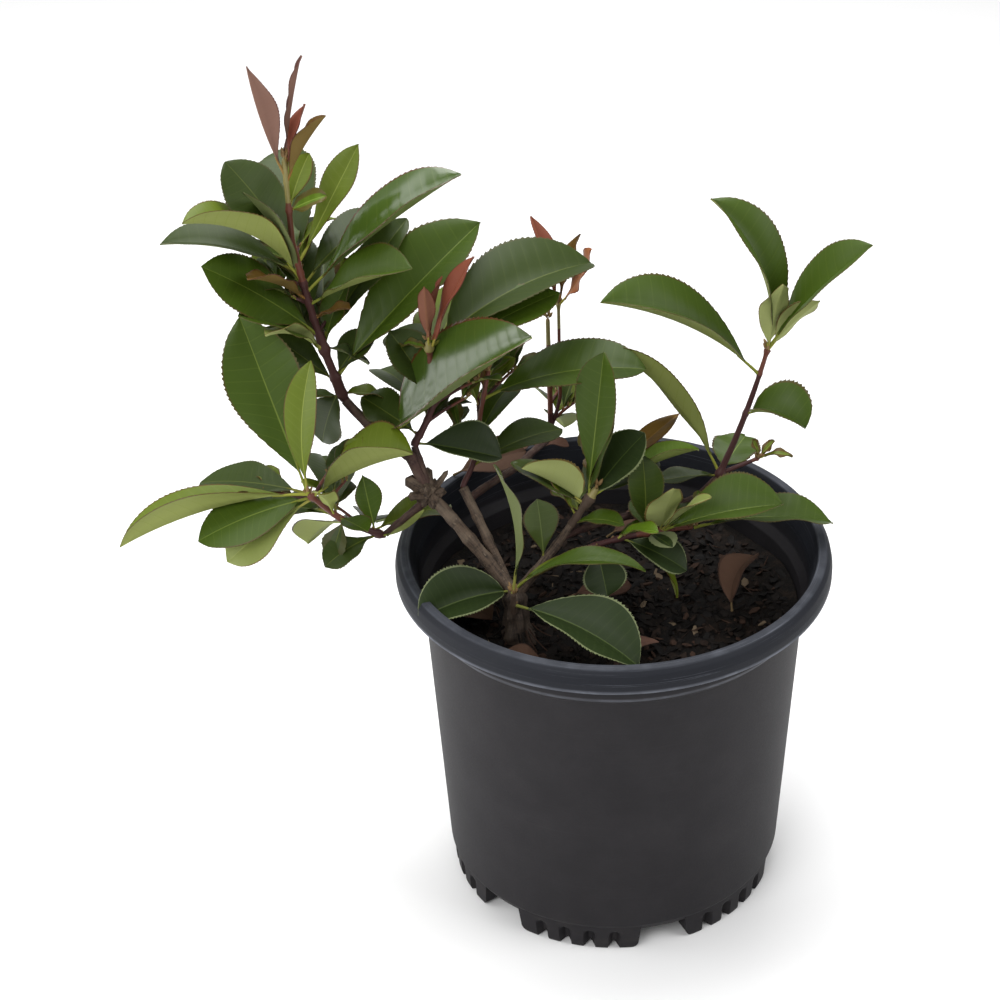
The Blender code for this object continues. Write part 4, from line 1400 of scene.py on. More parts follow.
@dataclass
class Shoots:
    """The shoots of every mass, each as one piece of leaves and one of twigs."""

    paths: dict[str, Path]
    large: Blade = field(default_factory=Blade)
    small: Blade = field(
        default_factory=lambda: Blade(8, (-1, -0.955, -0.5, -0.07, 0.07, 0.5, 0.955, 1), tooth=0.06)
    )
    tiny: Blade = field(
        default_factory=lambda: Blade(3, (-1, -0.5, -0.1, 0.1, 0.5, 1), (0.0, 0.5), tooth=0.1)
    )
    small_below: float = 46
    tiny_below: float = 22
    seeded_tints: tuple[Tint, ...] = (Tint.DEEP, Tint.GREEN, Tint.DEEP, Tint.GREEN, Tint.OLIVE)
    sprig: SprigRule = SprigRule()
    bud: BudRule = BudRule()
    sides: int = 10
    relief: float = 0.07
    leaf_crease: float = 75
    least_steps: int = 8
    smoothing: int = 3
    screens: list[BVHTree] = field(default_factory=list)

    def build(self, masses: list[Mass]) -> None:
        """Make the pieces of every mass.

        Args:
            masses: The masses.
        """
        for mass in masses:
            runs = self.runs_of(mass)
            leaves = [(place_on(runs[leaf.twig], leaf.at)[0], leaf) for leaf in mass.leaves]
            leaves += self.seeded(mass, runs[0])
            sprigs = self.sprigs_of(mass, runs[0])
            leaves += [pair for _, small in sprigs for pair in small]
            self.build_twigs(mass, runs[:-1], [path for path, _ in sprigs], leaves)
            self.build_leaves(mass, leaves)

    def runs_of(self, mass: Mass) -> list[Path]:
        """The paths of a mass's stem and twigs.

        Args:
            mass: The mass.

        Returns:
            The stem's path, each twig's and last its bough's, in millimetres.
        """
        if mass.offset:
            points = square_end(limb_path(Vector(TRUNK_FOOT) + Vector(mass.offset), mass.arcs))
        else:
            end, ahead = place_on(self.paths[mass.bough], 1.0)
            start = end + ahead * GAP
            points = square_end(limb_path(start, mass.arcs))
            points.insert(1, start + ahead)
        runs = [points]
        for share, arcs, _, _ in mass.twigs:
            runs.append(limb_path(place_on(points, share)[0], arcs))
        return runs + [self.paths[mass.bough]]

    def seeded(self, mass: Mass, points: Path) -> list[tuple[Vector, Leaf]]:
        """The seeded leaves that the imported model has: those whose tip is one of its corners.

        Args:
            mass: The mass.
            points: Its stem's path.

        Returns:
            Each leaf with its foot.
        """
        tree = self.tree_of(mass)
        rule = mass.fill
        draw = random.Random(f"{mass.name}{FILL_SEED}")
        pick = random.Random(mass.name)
        first, last = rule.span
        leaves = []
        for i in range(rule.tries):
            at = first + (last - first) * (i + 0.5) / rule.tries
            heading = rule.first_heading + rule.spread * turning(i)
            length = draw.uniform(*rule.length)
            lift = draw.uniform(*rule.lift)
            width = length * draw.uniform(*FILL_SLENDER)
            arch, roll = draw.uniform(*FILL_ARCH), draw.uniform(*FILL_ROLL)
            foot, _ = place_on(points, at)
            tint = pick.choice(self.seeded_tints)
            leaf = Leaf(at, heading, lift, length, width, arch, roll, tint=tint)
            if tree.find(foot + direction(heading, lift) * length)[2] < TIP_MATCH:
                leaves.append((foot, leaf))
        return leaves

    @staticmethod
    def tree_of(mass: Mass) -> kdtree.KDTree:
        """The corners of a mass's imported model, in millimetres from the pot's axis."""
        verts = frame["nodes"][mass.name].data.vertices
        tree = kdtree.KDTree(len(verts))
        for i, vert in enumerate(verts):
            tree.insert((vert.co - POT_AXIS) / MM, i)
        tree.balance()
        return tree

    def is_behind(self, place: Vector) -> bool:
        """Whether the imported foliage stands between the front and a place.

        Args:
            place: The place, in millimetres from the pot's axis.

        Returns:
            True where it does.
        """
        if not self.screens:
            for name, node in frame["nodes"].items():
                if name.startswith("foliage"):
                    corners = [(vert.co - POT_AXIS) / MM for vert in node.data.vertices]
                    faces = [tuple(face.vertices) for face in node.data.polygons]
                    self.screens.append(BVHTree.FromPolygons(corners, faces))
        away = place - Vector(EYE)
        return any(
            screen.ray_cast(Vector(EYE), away.normalized(), away.length - 2)[0]
            for screen in self.screens
        )

    def sprigs_of(self, mass: Mass, points: Path) -> list[tuple[Path, list[tuple[Vector, Leaf]]]]:
        """Short side twigs on the far side with small leaves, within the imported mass's reach.

        Args:
            mass: The mass.
            points: Its stem's path.

        Returns:
            Each twig's path with its leaves and their feet.
        """
        rule = self.sprig
        tree = self.tree_of(mass)
        draw = random.Random("sprigs" + mass.name)
        tries = mass.sprigs * rule.tries
        sprigs = []
        for i in range(tries):
            heading = rule.heading + rule.spread * turning(i)
            lift = draw.uniform(*rule.lift)
            foot, _ = place_on(points, rule.first + rule.run * (i + 0.5) / tries)
            arc = Arc(heading, lift, draw.uniform(*rule.length), rule.arch)
            path = limb_path(foot, [arc], rule.step)
            small = []
            for j, share in enumerate(rule.leaf_places):
                side = -1 if j % 2 else 1
                length = draw.uniform(*rule.leaf_length)
                leaf = Leaf(
                    share,
                    heading + side * draw.uniform(*rule.leaf_turn),
                    lift + draw.uniform(*rule.leaf_rise),
                    length,
                    length * draw.uniform(*rule.leaf_slender),
                    draw.uniform(*rule.leaf_arch),
                    draw.uniform(*rule.leaf_roll),
                    tint=draw.choice(self.seeded_tints),
                )
                start = place_on(path, share)[0]
                tip = start + direction(leaf.heading, leaf.lift) * length
                near = tree.find(tip)[2] < SPRIG_REACH
                if near and self.is_behind(tip) and self.is_behind(start.lerp(tip, 0.5)):
                    small.append((start, leaf))
            if len(small) > 1 and self.is_behind(path[-1]) and len(sprigs) < mass.sprigs:
                sprigs.append((path, small))
        return sprigs

    def build_twigs(
        self, mass: Mass, runs: list[Path], sprigs: list[Path],
        leaves: list[tuple[Vector, Leaf]],
    ) -> None:
        """The stem and twigs of a mass with their nodes and buds, as one piece.

        Args:
            mass: The mass.
            runs: The paths of its stem and twigs.
            sprigs: The paths of its sprigs.
            leaves: Its leaves with their feet.
        """
        order = list(Twig)
        tones = tuple((last, order.index(twig)) for last, twig in mass.tones)
        whole = mapped_mesh()
        radii = [(mass.foot_radius, mass.tip_radius)]
        radii += [(foot, tip) for _, _, foot, tip in mass.twigs] + [self.sprig.radii] * len(sprigs)
        for i, (points, (foot, tip)) in enumerate(zip(runs + sprigs, radii)):
            sweep = Sweep(
                self.resampled(points), [(0, foot), (1, tip)], self.sides, self.relief, grain=1.6,
                swellings=tuple(leaf.at for leaf in mass.leaves if leaf.twig == i), swelling=0.26,
                swelling_run=1.5, seed=i + 1.0, rounded=0.03, tones=tones,
            )
            join_into(whole, sweep.build())
            self.add_tip_scales(whole, points, tip, mass.name)
        for foot, leaf in leaves:
            lift = max(leaf.lift, self.bud.least_lift) + self.bud.lean
            self.add_bud(whole, foot, leaf.heading, lift, self.bud.size)
        finishes = [twig.value.material() for twig in order]
        finish_piece("twigs_" + mass.name.split("_")[1], whole, finishes, [mass.name])

    def resampled(self, points: Path) -> Path:
        """A path with points every millimetre or two, rounded through its corners."""
        count = max(self.least_steps, round(path_length(points) / FINE_STEP))
        even = [place_on(points, i / count)[0] for i in range(count + 1)]
        for _ in range(self.smoothing):
            inner = [(a + b * 2 + c) / 4 for a, b, c in zip(even, even[1:], even[2:])]
            even = even[:1] + inner + even[-1:]
        return even

    def add_tip_scales(self, bm: Mesh, points: Path, radius: float, name: str) -> None:
        """A few pointed scales round the end of a shoot.

        Args:
            bm: The twigs' mesh.
            points: The shoot's path.
            radius: Its radius at the tip, in millimetres.
            name: What the scales' seeded turns are drawn from.
        """
        rule = self.bud
        draw = random.Random("scales" + name)
        for i in range(rule.scales):
            back = (points[-1] - points[-2]).normalized() * draw.uniform(*rule.scale_place)
            lift = draw.uniform(*rule.scale_lift)
            size = draw.uniform(*rule.scale_size) * min(rule.widest_tip, radius)
            self.add_bud(bm, points[-1] - back, i * FILL_TURN, lift, size)

    def add_bud(self, bm: Mesh, foot: Vector, heading: float, lift: float, size: float) -> None:
        """One small pointed bud or scale.

        Args:
            bm: The mesh that it joins.
            foot: Its foot on the stem's axis, in millimetres.
            heading: Where it points.
            lift: How steeply.
            size: Its half length in millimetres.
        """
        made = bmesh.ops.create_icosphere(bm, subdivisions=1, radius=1.0)["verts"]
        bmesh.ops.scale(bm, vec=[size * part for part in self.bud.form], verts=made)
        for vert in made:
            if vert.co.z > 0:
                pinch = 1 - self.bud.pinch * vert.co.z / size
                vert.co.x, vert.co.y = vert.co.x * pinch, vert.co.y * pinch
        ahead = direction(heading, min(lift, self.bud.steepest))
        turn = ahead.to_track_quat("Z", "X").to_matrix().to_4x4()
        middle = (foot + ahead * (size * self.bud.stand)) * MM
        matrix = Matrix.Translation(middle) @ turn @ Matrix.Scale(MM, 4)
        bmesh.ops.transform(bm, matrix=matrix, verts=made)
        colour_made(made, list(Twig).index(Twig.SCALE))

    def blade_for(self, leaf: Leaf) -> Blade:
        """The plan that suits a leaf's size."""
        if leaf.length < self.tiny_below:
            return self.tiny
        return self.small if leaf.length < self.small_below else self.large

    def build_leaves(self, mass: Mass, leaves: list[tuple[Vector, Leaf]]) -> None:
        """All leaves of a mass as one piece, in plain colours dealt out leaf by leaf.

        Args:
            mass: The mass.
            leaves: Its leaves with their feet.
        """
        whole = mapped_mesh()
        tints = [tint for tint in Tint if any(leaf.tint is tint for _, leaf in leaves)]
        finishes = [tint.finish(part).material() for tint in tints for part in Part]
        for i, (foot, leaf) in enumerate(leaves):
            first = tints.index(leaf.tint) * len(Part)
            join_into(whole, self.blade_for(leaf).grow(foot, leaf, first, f"{mass.name}{i}"))
        name = "leaves_" + mass.name.split("_")[1]
        finish_piece(name, whole, finishes, [mass.name], self.leaf_crease)


# The shrub's masses: the source's stems and rows, turned and folded as they show. A leaf's row
# is its place, heading, lift, length, width, arch, roll, fold, tint, outline, twig and wave
FOLIAGE = [
    Mass(
        "foliage_tall", "tall_bough",
        [Arc(170, 74, 50, -8), Arc(-165, 80, 42, -4), Arc(-90, 84, 48)], 2.3, 1.1, [],
        [
            Leaf(0.93, -143, 75, 61, 19, -20, 0, 50, Tint.DUSK, Form.LANCE),
            Leaf(0.97, -4, 78, 57, 7, 8, 0, 45, Tint.DUSK, Form.LANCE),
            Leaf(0.95, 36, 66, 33, 9, 8, 0, 45, Tint.RED, Form.LANCE),
            Leaf(0.90, -18, 58, 44, 15, 14, 0, 50, Tint.BRONZE),
            Leaf(0.79, 54, 54, 29, 13, 20, 10, 22, Tint.OLIVE),
            Leaf(0.57, 37, 54, 66, 18, -12, 12, 14, Tint.OLIVE, Form.SPOON),
            Leaf(0.45, 13, 35, 98, 38, 18, -2, 36, Tint.SHINE, Form.OVAL, wave=2.0),
            Leaf(0.40, -22, 28, 66, 33, 20, 14, 44),
            Leaf(0.09, 34, 36, 109, 41, 24, 15, 37),
            Leaf(0.25, 49, 35, 78, 20, 20, 10, 22, Tint.DEEP, Form.ROUND),
            Leaf(0.60, 161, 53, 57, 32, 22, -15, 2, Tint.DEEP, Form.ROUND),
            Leaf(0.48, -154, 65, 62, 22, 22, 10, 16, Tint.GREY, Form.LANCE),
            Leaf(0.49, -152, 38, 74, 30, 60, 14, 48, Tint.OLIVE),
            Leaf(0.53, 178, 12, 70, 27, 40, 0, 34, Tint.DEEP),
            Leaf(0.42, -134, 35, 44, 18, 26, 10, 26, Tint.BRONZE),
            Leaf(0.34, -23, 26, 24, 12, 20, 0, 22, Tint.BRONZE),
            Leaf(0.22, 40, 62, 36, 18, 20, 0, 16),
            Leaf(0.27, -165, 40, 72, 35, 24, -25, 5),
            Leaf(0.20, -142, 38, 60, 26, 30, -10, 18),
            Leaf(0.21, -122, 33, 52, 14, 40, 20, 34, Tint.PALE),
            Leaf(0.07, 166, 35, 47, 18, 20, -26, 14, Tint.DEEP),
            Leaf(0.23, 21, -34, 28, 12, 20, 0, 22, Tint.DEEP),
            Leaf(0.02, -170, -3, 27, 16, 24, 10, 22),
            Leaf(0.05, -139, -64, 30, 32, 20, 0, 16, Tint.DEEP),
            Leaf(0.03, 30, -20, 25, 13, 20, 0, 20, Tint.OLIVE),
            Leaf(0.10, 46, 32, 31, 20, 20, 0, 16, Tint.DEEP),
            Leaf(0.78, 8, 22, 20, 12, 30, 20, 16, Tint.FRESH, Form.ROUND),
            Leaf(0.60, -24, 42, 116, 57, -10, 24, 43, Tint.SHINE, Form.HEEL, twig=-1, wave=2.0),
        ],
        Fill(16, 60, 65, (-18, 30), (58, 86), (0.1, 0.74)),
        tones=((0.5, Twig.PURPLE), (0.82, Twig.CRIMSON), (1.0, Twig.GREENISH)),
        sprigs=10,
    ),
    Mass(
        "foliage_left", "side_bough",
        [Arc(-162, 29, 21, -10), Arc(-163, 48, 30, -10)], 1.8, 1.2, [],
        [
            Leaf(1.00, -172, -14, 99, 30, 30, 18, 60, Tint.OLIVE),
            Leaf(1.00, 149, -13, 73, 28, 26, -10, 8, Tint.DEEP),
            Leaf(0.94, -162, -14, 61, 28, 22, -18, 2, Tint.GREEN, Form.ROUND),
            Leaf(1.00, 135, 62, 95, 36, -10, -36, 14),
            Leaf(1.00, 62, 81, 72, 18, 36, 0, 16, Tint.OLIVE),
            Leaf(0.94, -5, 28, 60, 46, 24, -12, 48, Tint.OLIVE),
            Leaf(0.08, -138, -8, 35, 17, 34, -16, 18, Tint.DEEP, Form.SPOON),
            Leaf(0.12, 120, 68, 31, 14, 20, 0, 24, Tint.GREEN, Form.LANCE),
            Leaf(0.06, -14, 38, 31, 15, -50, -20, 18),
            Leaf(0.62, -100, 49, 36, 12, 24, 0, 30, Tint.OLIVE),
            Leaf(0.50, -120, -55, 20, 14, 16, 0, 14, Tint.DEEP),
            Leaf(0.55, -50, 10, 26, 14, 20, 0, 20),
            Leaf(0.92, -156, -29, 54, 22, 30, -34, 10, Tint.PALE, Form.SPOON),
        ],
        Fill(8, 100, 50, (-40, 0), (48, 72)),
        sprigs=5,
    ),
    Mass(
        "foliage_middle", "middle_bough",
        [Arc(20, 64, 28, -10), Arc(-160, 86, 35)], 1.9, 1.3, [],
        [
            Leaf(0.10, 158, 27, 36, 24, 24, -10, 16, Tint.DEEP),
            Leaf(0.26, 61, -12, 28, 22, 20, -20, 20, Tint.DEEP),
            Leaf(0.92, -89, 71, 45, 9, 8, 0, 40, Tint.RED, Form.LANCE),
            Leaf(0.97, -5, 78, 39, 7, 8, 0, 40, Tint.RED, Form.LANCE),
            Leaf(0.89, -11, 66, 61, 13, 10, 30, 30, Tint.RED),
            Leaf(0.92, 38, 9, 104, 46, 34, 8, 34, Tint.DEEP, Form.ROUND),
            Leaf(0.80, 27, 17, 76, 30, 26, 6, 14),
            Leaf(0.66, 116, 7, 46, 24, 20, -10, 20, Tint.DEEP),
            Leaf(0.44, 148, 50, 42, 26, 20, -10, 24, Tint.DEEP),
            Leaf(0.92, 140, -13, 21, 8, 20, 0, 24, Tint.FRESH),
            Leaf(0.03, 4, -14, 46, 30, 16, 16, 40, Tint.SHADE),
        ],
        Fill(12, 85, 60, (-30, 12), (55, 85)),
        tones=((0.6, Twig.PURPLE), (0.9, Twig.CRIMSON), (1.0, Twig.GREENISH)),
        sprigs=8,
    ),
    Mass(
        "foliage_inner", "left_stem_back",
        [Arc(62, 38, 15), Arc(72, 64, 25, -16), Arc(20, 78, 27)], 1.5, 1.0, [],
        [
            Leaf(0.74, 1, 11, 86, 38, 42, 6, 20, Tint.GREEN, Form.ROUND),
            Leaf(0.78, 80, 75, 16, 5, 0, 0, 30, Tint.BRONZE, Form.LANCE),
            Leaf(0.94, 40, 40, 24, 9, 10, 0, 24, Tint.DEEP, Form.LANCE),
        ],
        Fill(5, 80, 40, (-20, 10), (40, 62)),
        sprigs=3,
    ),
    Mass(
        "foliage_rear", "rear_bough",
        [Arc(70, 20, 7, -60), Arc(110, 88, 70)], 1.7, 1.2,
        [(0.12, [Arc(10, 74, 20, -10), Arc(100, 88, 58)], 1.1, 0.9)],
        [
            Leaf(0.97, 144, 70, 51, 13, 12, 0, 30, Tint.RED, Form.LANCE, twig=1),
            Leaf(0.99, 30, 70, 40, 11, 12, 0, 30, Tint.BRONZE, Form.LANCE, twig=1),
            Leaf(0.98, -28, 62, 42, 20, -30, 30, 8, Tint.ORANGE, twig=1),
            Leaf(0.10, 60, 30, 22, 16, 24, 0, 16, Tint.OLIVE, twig=1),
            Leaf(0.04, 180, 36, 18, 8, 20, 20, 20, Tint.GREY, Form.LANCE),
        ],
        Fill(8, 90, 40, (-50, -28), (42, 60), (0.1, 0.5)),
        tones=((0.25, Twig.PURPLE), (0.8, Twig.CRIMSON), (1.0, Twig.GREENISH)),
        sprigs=2,
    ),
    Mass(
        "foliage_centre", "right_stem",
        [Arc(12, 57, 26)], 2.1, 1.5, [],
        [
            Leaf(0.65, 52, 81, 82, 25, 10, 0, 14, Tint.GREEN, Form.SPOON),
            Leaf(0.60, 32, 74, 57, 18, 16, 0, 18, Tint.DEEP),
            Leaf(0.55, 180, 33, 39, 28, 16, 40, 62, Tint.PALE, Form.HEEL),
            Leaf(0.75, 23, 13, 62, 22, 20, -16, 40, Tint.FRESH),
            Leaf(0.70, 44, 1, 50, 18, 20, 10, 20, Tint.DEEP),
            Leaf(0.85, 52, 10, 75, 12, 26, 6, 22, Tint.BRONZE, Form.LANCE),
            Leaf(0.20, 150, 50, 36, 10, 30, 0, 30, Tint.OLIVE, Form.LANCE),
            Leaf(0.50, 110, 74, 34, 18, 20, 0, 20, Tint.GREY, Form.SPOON, twig=-1),
            Leaf(0.70, 25, 45, 44, 26, 16, 10, 14, Tint.SHADE, Form.ROUND),
            Leaf(0.50, 165, 27, 44, 18, 20, 0, 20, Tint.GREY),
            Leaf(0.02, -12, 6, 28, 14, 60, 0, 20),
        ],
        Fill(7, 110, 50, (-25, 5), (42, 64)),
        tones=((0.75, Twig.WOODY), (1.0, Twig.GREENISH)),
        sprigs=5,
    ),
    Mass(
        "foliage_low", "low_bough",
        [Arc(12, 12, 20, 6), Arc(19, -3, 38, 6)], 1.6, 1.2, [],
        [
            Leaf(0.67, -1, 15, 66, 36, 22, 12, 42),
            Leaf(1.00, 9, -4, 75, 30, 30, -2, 30),
            Leaf(0.67, -60, 68, 36, 20, 10, 0, 16, Tint.PALE, Form.HEEL),
            Leaf(0.67, -31, 46, 43, 11, 14, 0, 26, Tint.PALE, Form.ROUND),
            Leaf(0.26, -30, 27, 28, 12, 50, 0, 26, Tint.FRESH),
            Leaf(0.57, -51, 2, 19, 14, 20, 0, 14, Tint.SHADE, Form.ROUND),
            Leaf(0.07, -68, -53, 27, 22, 20, 0, 14, Tint.SHADE),
            Leaf(0.31, -12, -24, 38, 22, 20, 10, 16, Tint.SHADE),
            Leaf(0.54, -12, -66, 42, 9, 20, 0, 26, Tint.OLIVE, Form.LANCE),
            Leaf(0.54, 105, 80, 44, 18, 16, 0, 16, Tint.DEEP),
        ],
        Fill(5, 75, 35, (-20, 0), (36, 52)),
        sprigs=4,
    ),
    Mass(
        "foliage_right", "right_bough",
        [Arc(14, 68, 24), Arc(6, 74, 56, -6)], 1.9, 1.2,
        [(0.03, [Arc(5, 23, 23)], 1.3, 1.0)],
        [
            Leaf(0.80, -172, 30, 96, 40, 40, -7, 47),
            Leaf(1.00, 158, 67, 85, 31, 74, -8, 44),
            Leaf(1.00, -14, 52, 82, 32, 20, 16, 32),
            Leaf(0.97, -60, 74, 46, 16, 10, 0, 16, Tint.PALE),
            Leaf(0.98, -9, 50, 40, 18, 16, -50, 26, Tint.PALE, Form.LANCE),
            Leaf(0.50, -27, 0, 34, 34, 70, 10, 54, Tint.GREEN, Form.ROUND),
            Leaf(0.03, 172, 50, 94, 25, 36, 50, 24, Tint.OLIVE),
            Leaf(0.05, 62, 12, 30, 24, 20, 0, 12, Tint.GREEN, Form.ROUND),
            Leaf(0.02, 180, -8, 35, 14, 20, 0, 20, Tint.DEEP),
            Leaf(0.97, 150, 66, 11, 6, 20, 0, 20, Tint.OLIVE, twig=1),
            Leaf(0.98, 30, 42, 12, 6, 20, 0, 20, Tint.OLIVE, twig=1),
            Leaf(1.00, -6, 4, 17, 7, 60, 0, 20, Tint.OLIVE, twig=1),
        ],
        Fill(5, 90, 20, (-62, -44), (40, 56), (0.04, 0.3)),
        tones=((0.8, Twig.PURPLE), (1.0, Twig.CRIMSON)),
        sprigs=4,
    ),
    Mass(
        "foliage_foot", "trunk",
        [Arc(-85, 76, 16)], 1.7, 1.3, [],
        [
            Leaf(1.00, -151, 0, 54, 34, 34, -26, 50, Tint.SHADE, Form.ROUND, twig=-1),
            Leaf(0.40, -26, -13, 73, 38, 36, 10, 40, Tint.SHADE),
            Leaf(0.95, 176, 84, 77, 14, 34, 24, 30, Tint.GREY, Form.LANCE),
            Leaf(1.00, -5, 13, 70, 16, 78, 0, 32, Tint.GREEN, Form.LANCE, twig=-1),
            Leaf(1.00, 10, 20, 46, 9, 50, 0, 30, Tint.OLIVE, Form.LANCE, twig=-1),
        ],
        Fill(0, 0, 0, (0, 0), (0, 0)),
        (-1.5, -4.1, 18.5),
        ((1.0, Twig.WOODY),),
    ),
]


# ---- pot


@dataclass
class Pot:
    """The round nursery pot: a turned shell on six groups of scalloped feet."""

    height: float = 203
    lip_radius: float = 115
    lip_height: float = 190
    rim_outer: float = 111.4
    rim_inner: float = 107.4
    collar_radius: float = 105
    collar_foot: float = 177
    rim_drop: float = 3
    rim_shoulder: float = 7.6
    lip_hollow: float = 198
    rim_hollow: float = 199
    rim_ease: float = 1.4
    collar_ease: float = 1.4
    collar_step: float = 3
    draft: float = 0.6
    wall: float = 1.6
    wall_at_ground: float = 90.9
    taper: float = 0.0558
    floor: float = 13
    floor_thickness: float = 3
    corner: float = 5
    foot_radius: float = 89
    foot_inner: float = 80
    foot_groups: int = 6
    lobes: int = 5
    lobe_pitch: float = 8.9
    lobe_round: float = 3.2
    lobe_round_run: float = 0.55
    lobe_columns: int = 12
    lobe_rows: int = 14
    lobe_narrowing: float = 0.05
    foot_overlap: float = 4.0
    foot_inset: float = 1.2
    foot_tuck: Range = (0.9, 1.2)
    groove_top: float = 11.5
    groove_arch: float = 5.5
    groove_half: float = 0.42
    groove_depth: float = 3.9
    groove_fade: float = 2.4
    groove_fade_end: float = 30
    first_foot: float = -102.7
    steps: int = 144
    eased_from: float = 12
    easing: float = 0.55
    crease: float = 38

    def wall_radius(self, height: float) -> float:
        """Outer radius of the wall under the collar, in millimetres."""
        return self.wall_at_ground + self.taper * height

    def profile(self) -> list[Range]:
        """The shell's section, down its outer side and back up its inner side.

        Returns:
            Radius and height pairs, in millimetres.
        """
        lip, collar, wall = self.lip_radius, self.collar_radius, self.wall
        low, top = self.floor + self.corner, self.floor + self.floor_thickness
        foot, step = self.collar_foot, self.collar_step
        at_low, at_foot = self.wall_radius(low), self.wall_radius(foot)
        return [
            (self.rim_outer, self.height),
            (lip - 1, self.height - self.rim_drop),
            (lip, self.height - self.rim_shoulder),
            (lip, self.lip_height),
            (lip - wall, self.lip_height),
            (lip - wall - self.draft, self.lip_hollow),
            (collar + wall, self.rim_hollow),
            (collar + self.draft, self.lip_height),
            (collar, foot + step),
            (collar - self.collar_ease, foot),
            (at_foot, foot - step),
            (at_low, low),
            (self.foot_radius, self.floor),
            (0, self.floor),
            (0, top),
            (at_low - wall - self.corner, top),
            (at_low - wall, top + self.corner),
            (at_foot - wall, foot - step),
            (collar - wall - self.draft, foot + step / 2),
            (collar - wall, self.lip_height),
            (self.rim_inner - self.rim_ease, self.rim_hollow),
            (self.rim_inner, self.height),
        ]

    def build_shell(self) -> Mesh:
        """The turned shell with its edges eased.

        Returns:
            The shell.
        """
        bm = turned(self.profile(), self.steps)
        bmesh.ops.recalc_face_normals(bm, faces=bm.faces)
        rings = [
            edge for edge in bm.edges
            if len(edge.link_faces) == 2
            and edge.calc_face_angle(0) > math.radians(self.eased_from)
            and abs(edge.verts[0].co.z - edge.verts[1].co.z) < 0.1 * MM
        ]
        bmesh.ops.bevel(
            bm, geom=rings, offset=self.easing * MM, segments=3, profile=0.5, affect="EDGES",
            material=-1, clamp_overlap=True,
        )
        return bm

    def foot_skin(self, heading: float, height: float) -> float:
        """Outer radius of a foot, hollowed by grooves whose tops are rounded.

        Args:
            heading: Angle from the middle of the group, in degrees.
            height: Height above the ground, in millimetres.

        Returns:
            The radius in millimetres.
        """
        tuck, tuck_height = self.foot_tuck
        outer = self.wall_radius(height) - self.foot_inset - tuck * math.exp(-height / tuck_height)
        across = heading / self.lobe_pitch + self.lobes / 2
        if not 0 < round(across) < self.lobes:
            return outer
        groove = self.groove_at(heading)
        arch = self.groove_top - self.groove_arch * groove ** 2
        depth = self.groove_depth * max(0.0, 1 - (groove / self.groove_half) ** 4)
        fade = min(self.groove_fade_end, (height - arch) * self.groove_fade)
        return outer - depth / (1 + math.exp(fade))

    def groove_at(self, heading: float) -> float:
        """How far a heading is from the nearest groove: 0 in it and 1 on a lobe's middle."""
        across = heading / self.lobe_pitch + self.lobes / 2
        return abs(across - round(across)) * 2

    def build_foot(self, heading: float) -> Mesh:
        """One group of lobes.

        Args:
            heading: The middle of the group, in degrees.

        Returns:
            The foot as a closed mesh.
        """
        columns = self.lobes * self.lobe_columns
        bm = plan_grid(columns, self.lobe_rows)
        close_slab(bm)
        half = self.lobes * self.lobe_pitch / 2
        for vert in bm.verts:
            turn, up = -half + 2 * half * vert.co.x / columns, vert.co.y / self.lobe_rows
            ease = max(0.0, 1 - self.groove_at(turn) / self.lobe_round_run)
            lifted = self.lobe_round * ease ** 2
            height = lifted + (self.floor + self.foot_overlap - lifted) * up
            angle = math.radians(heading + turn * (1 - self.lobe_narrowing * (1 - up)))
            reach = self.foot_skin(turn, height) if is_raised(vert.co) else self.foot_inner
            vert.co = Vector((reach * math.cos(angle), reach * math.sin(angle), height)) * MM
        bmesh.ops.recalc_face_normals(bm, faces=bm.faces)
        return bm

    def build(self) -> None:
        """The whole pot as one piece."""
        bm = self.build_shell()
        for i in range(self.foot_groups):
            join_into(bm, self.build_foot(self.first_foot + 360 * i / self.foot_groups))
        plastic = PotPlastic().material(POT_AXIS)
        finish_piece("nursery_pot", bm, [plastic], ["pot"], self.crease)


# ---- soil


class Chip(Enum):
    """The colours of the loose bark chips."""

    BLACK = PlainFinish("chip_black", (0.0042, 0.0033, 0.0030), 0.7, specular=0.14)
    DARK = PlainFinish("chip_dark", (0.0078, 0.0058, 0.0048), 0.75, specular=0.14)
    BROWN = PlainFinish("chip_brown", (0.0165, 0.0105, 0.0078), 0.8, specular=0.12)
    RUSSET = PlainFinish("chip_russet", (0.036, 0.021, 0.015), 0.85, specular=0.1)
    STRAW = PlainFinish("chip_straw", (0.115, 0.085, 0.056), 0.85, specular=0.1)


@dataclass(frozen=True)
class Scatter:
    """One kind of loose piece on the bark mix: its sizes, and its colours' numbers.

    Its length is in millimetres and its width a share of that; a fibre has one fine width and
    thickness. A colour is dealt as often as it is listed.
    """

    long: Range
    slender: Range | None
    thick: Range | None
    tones: tuple[int, ...]
    fine: Range = (0.8, 0.7)

    def size(self, draw: random.Random) -> tuple[float, float, float]:
        """One piece's length, width and thickness. Only the length of a fibre is drawn.

        Args:
            draw: The seeded numbers.

        Returns:
            The three sizes.
        """
        long = draw.uniform(*self.long)
        if not self.slender:
            return long, *self.fine
        return long, long * draw.uniform(*self.slender), draw.uniform(*self.thick)


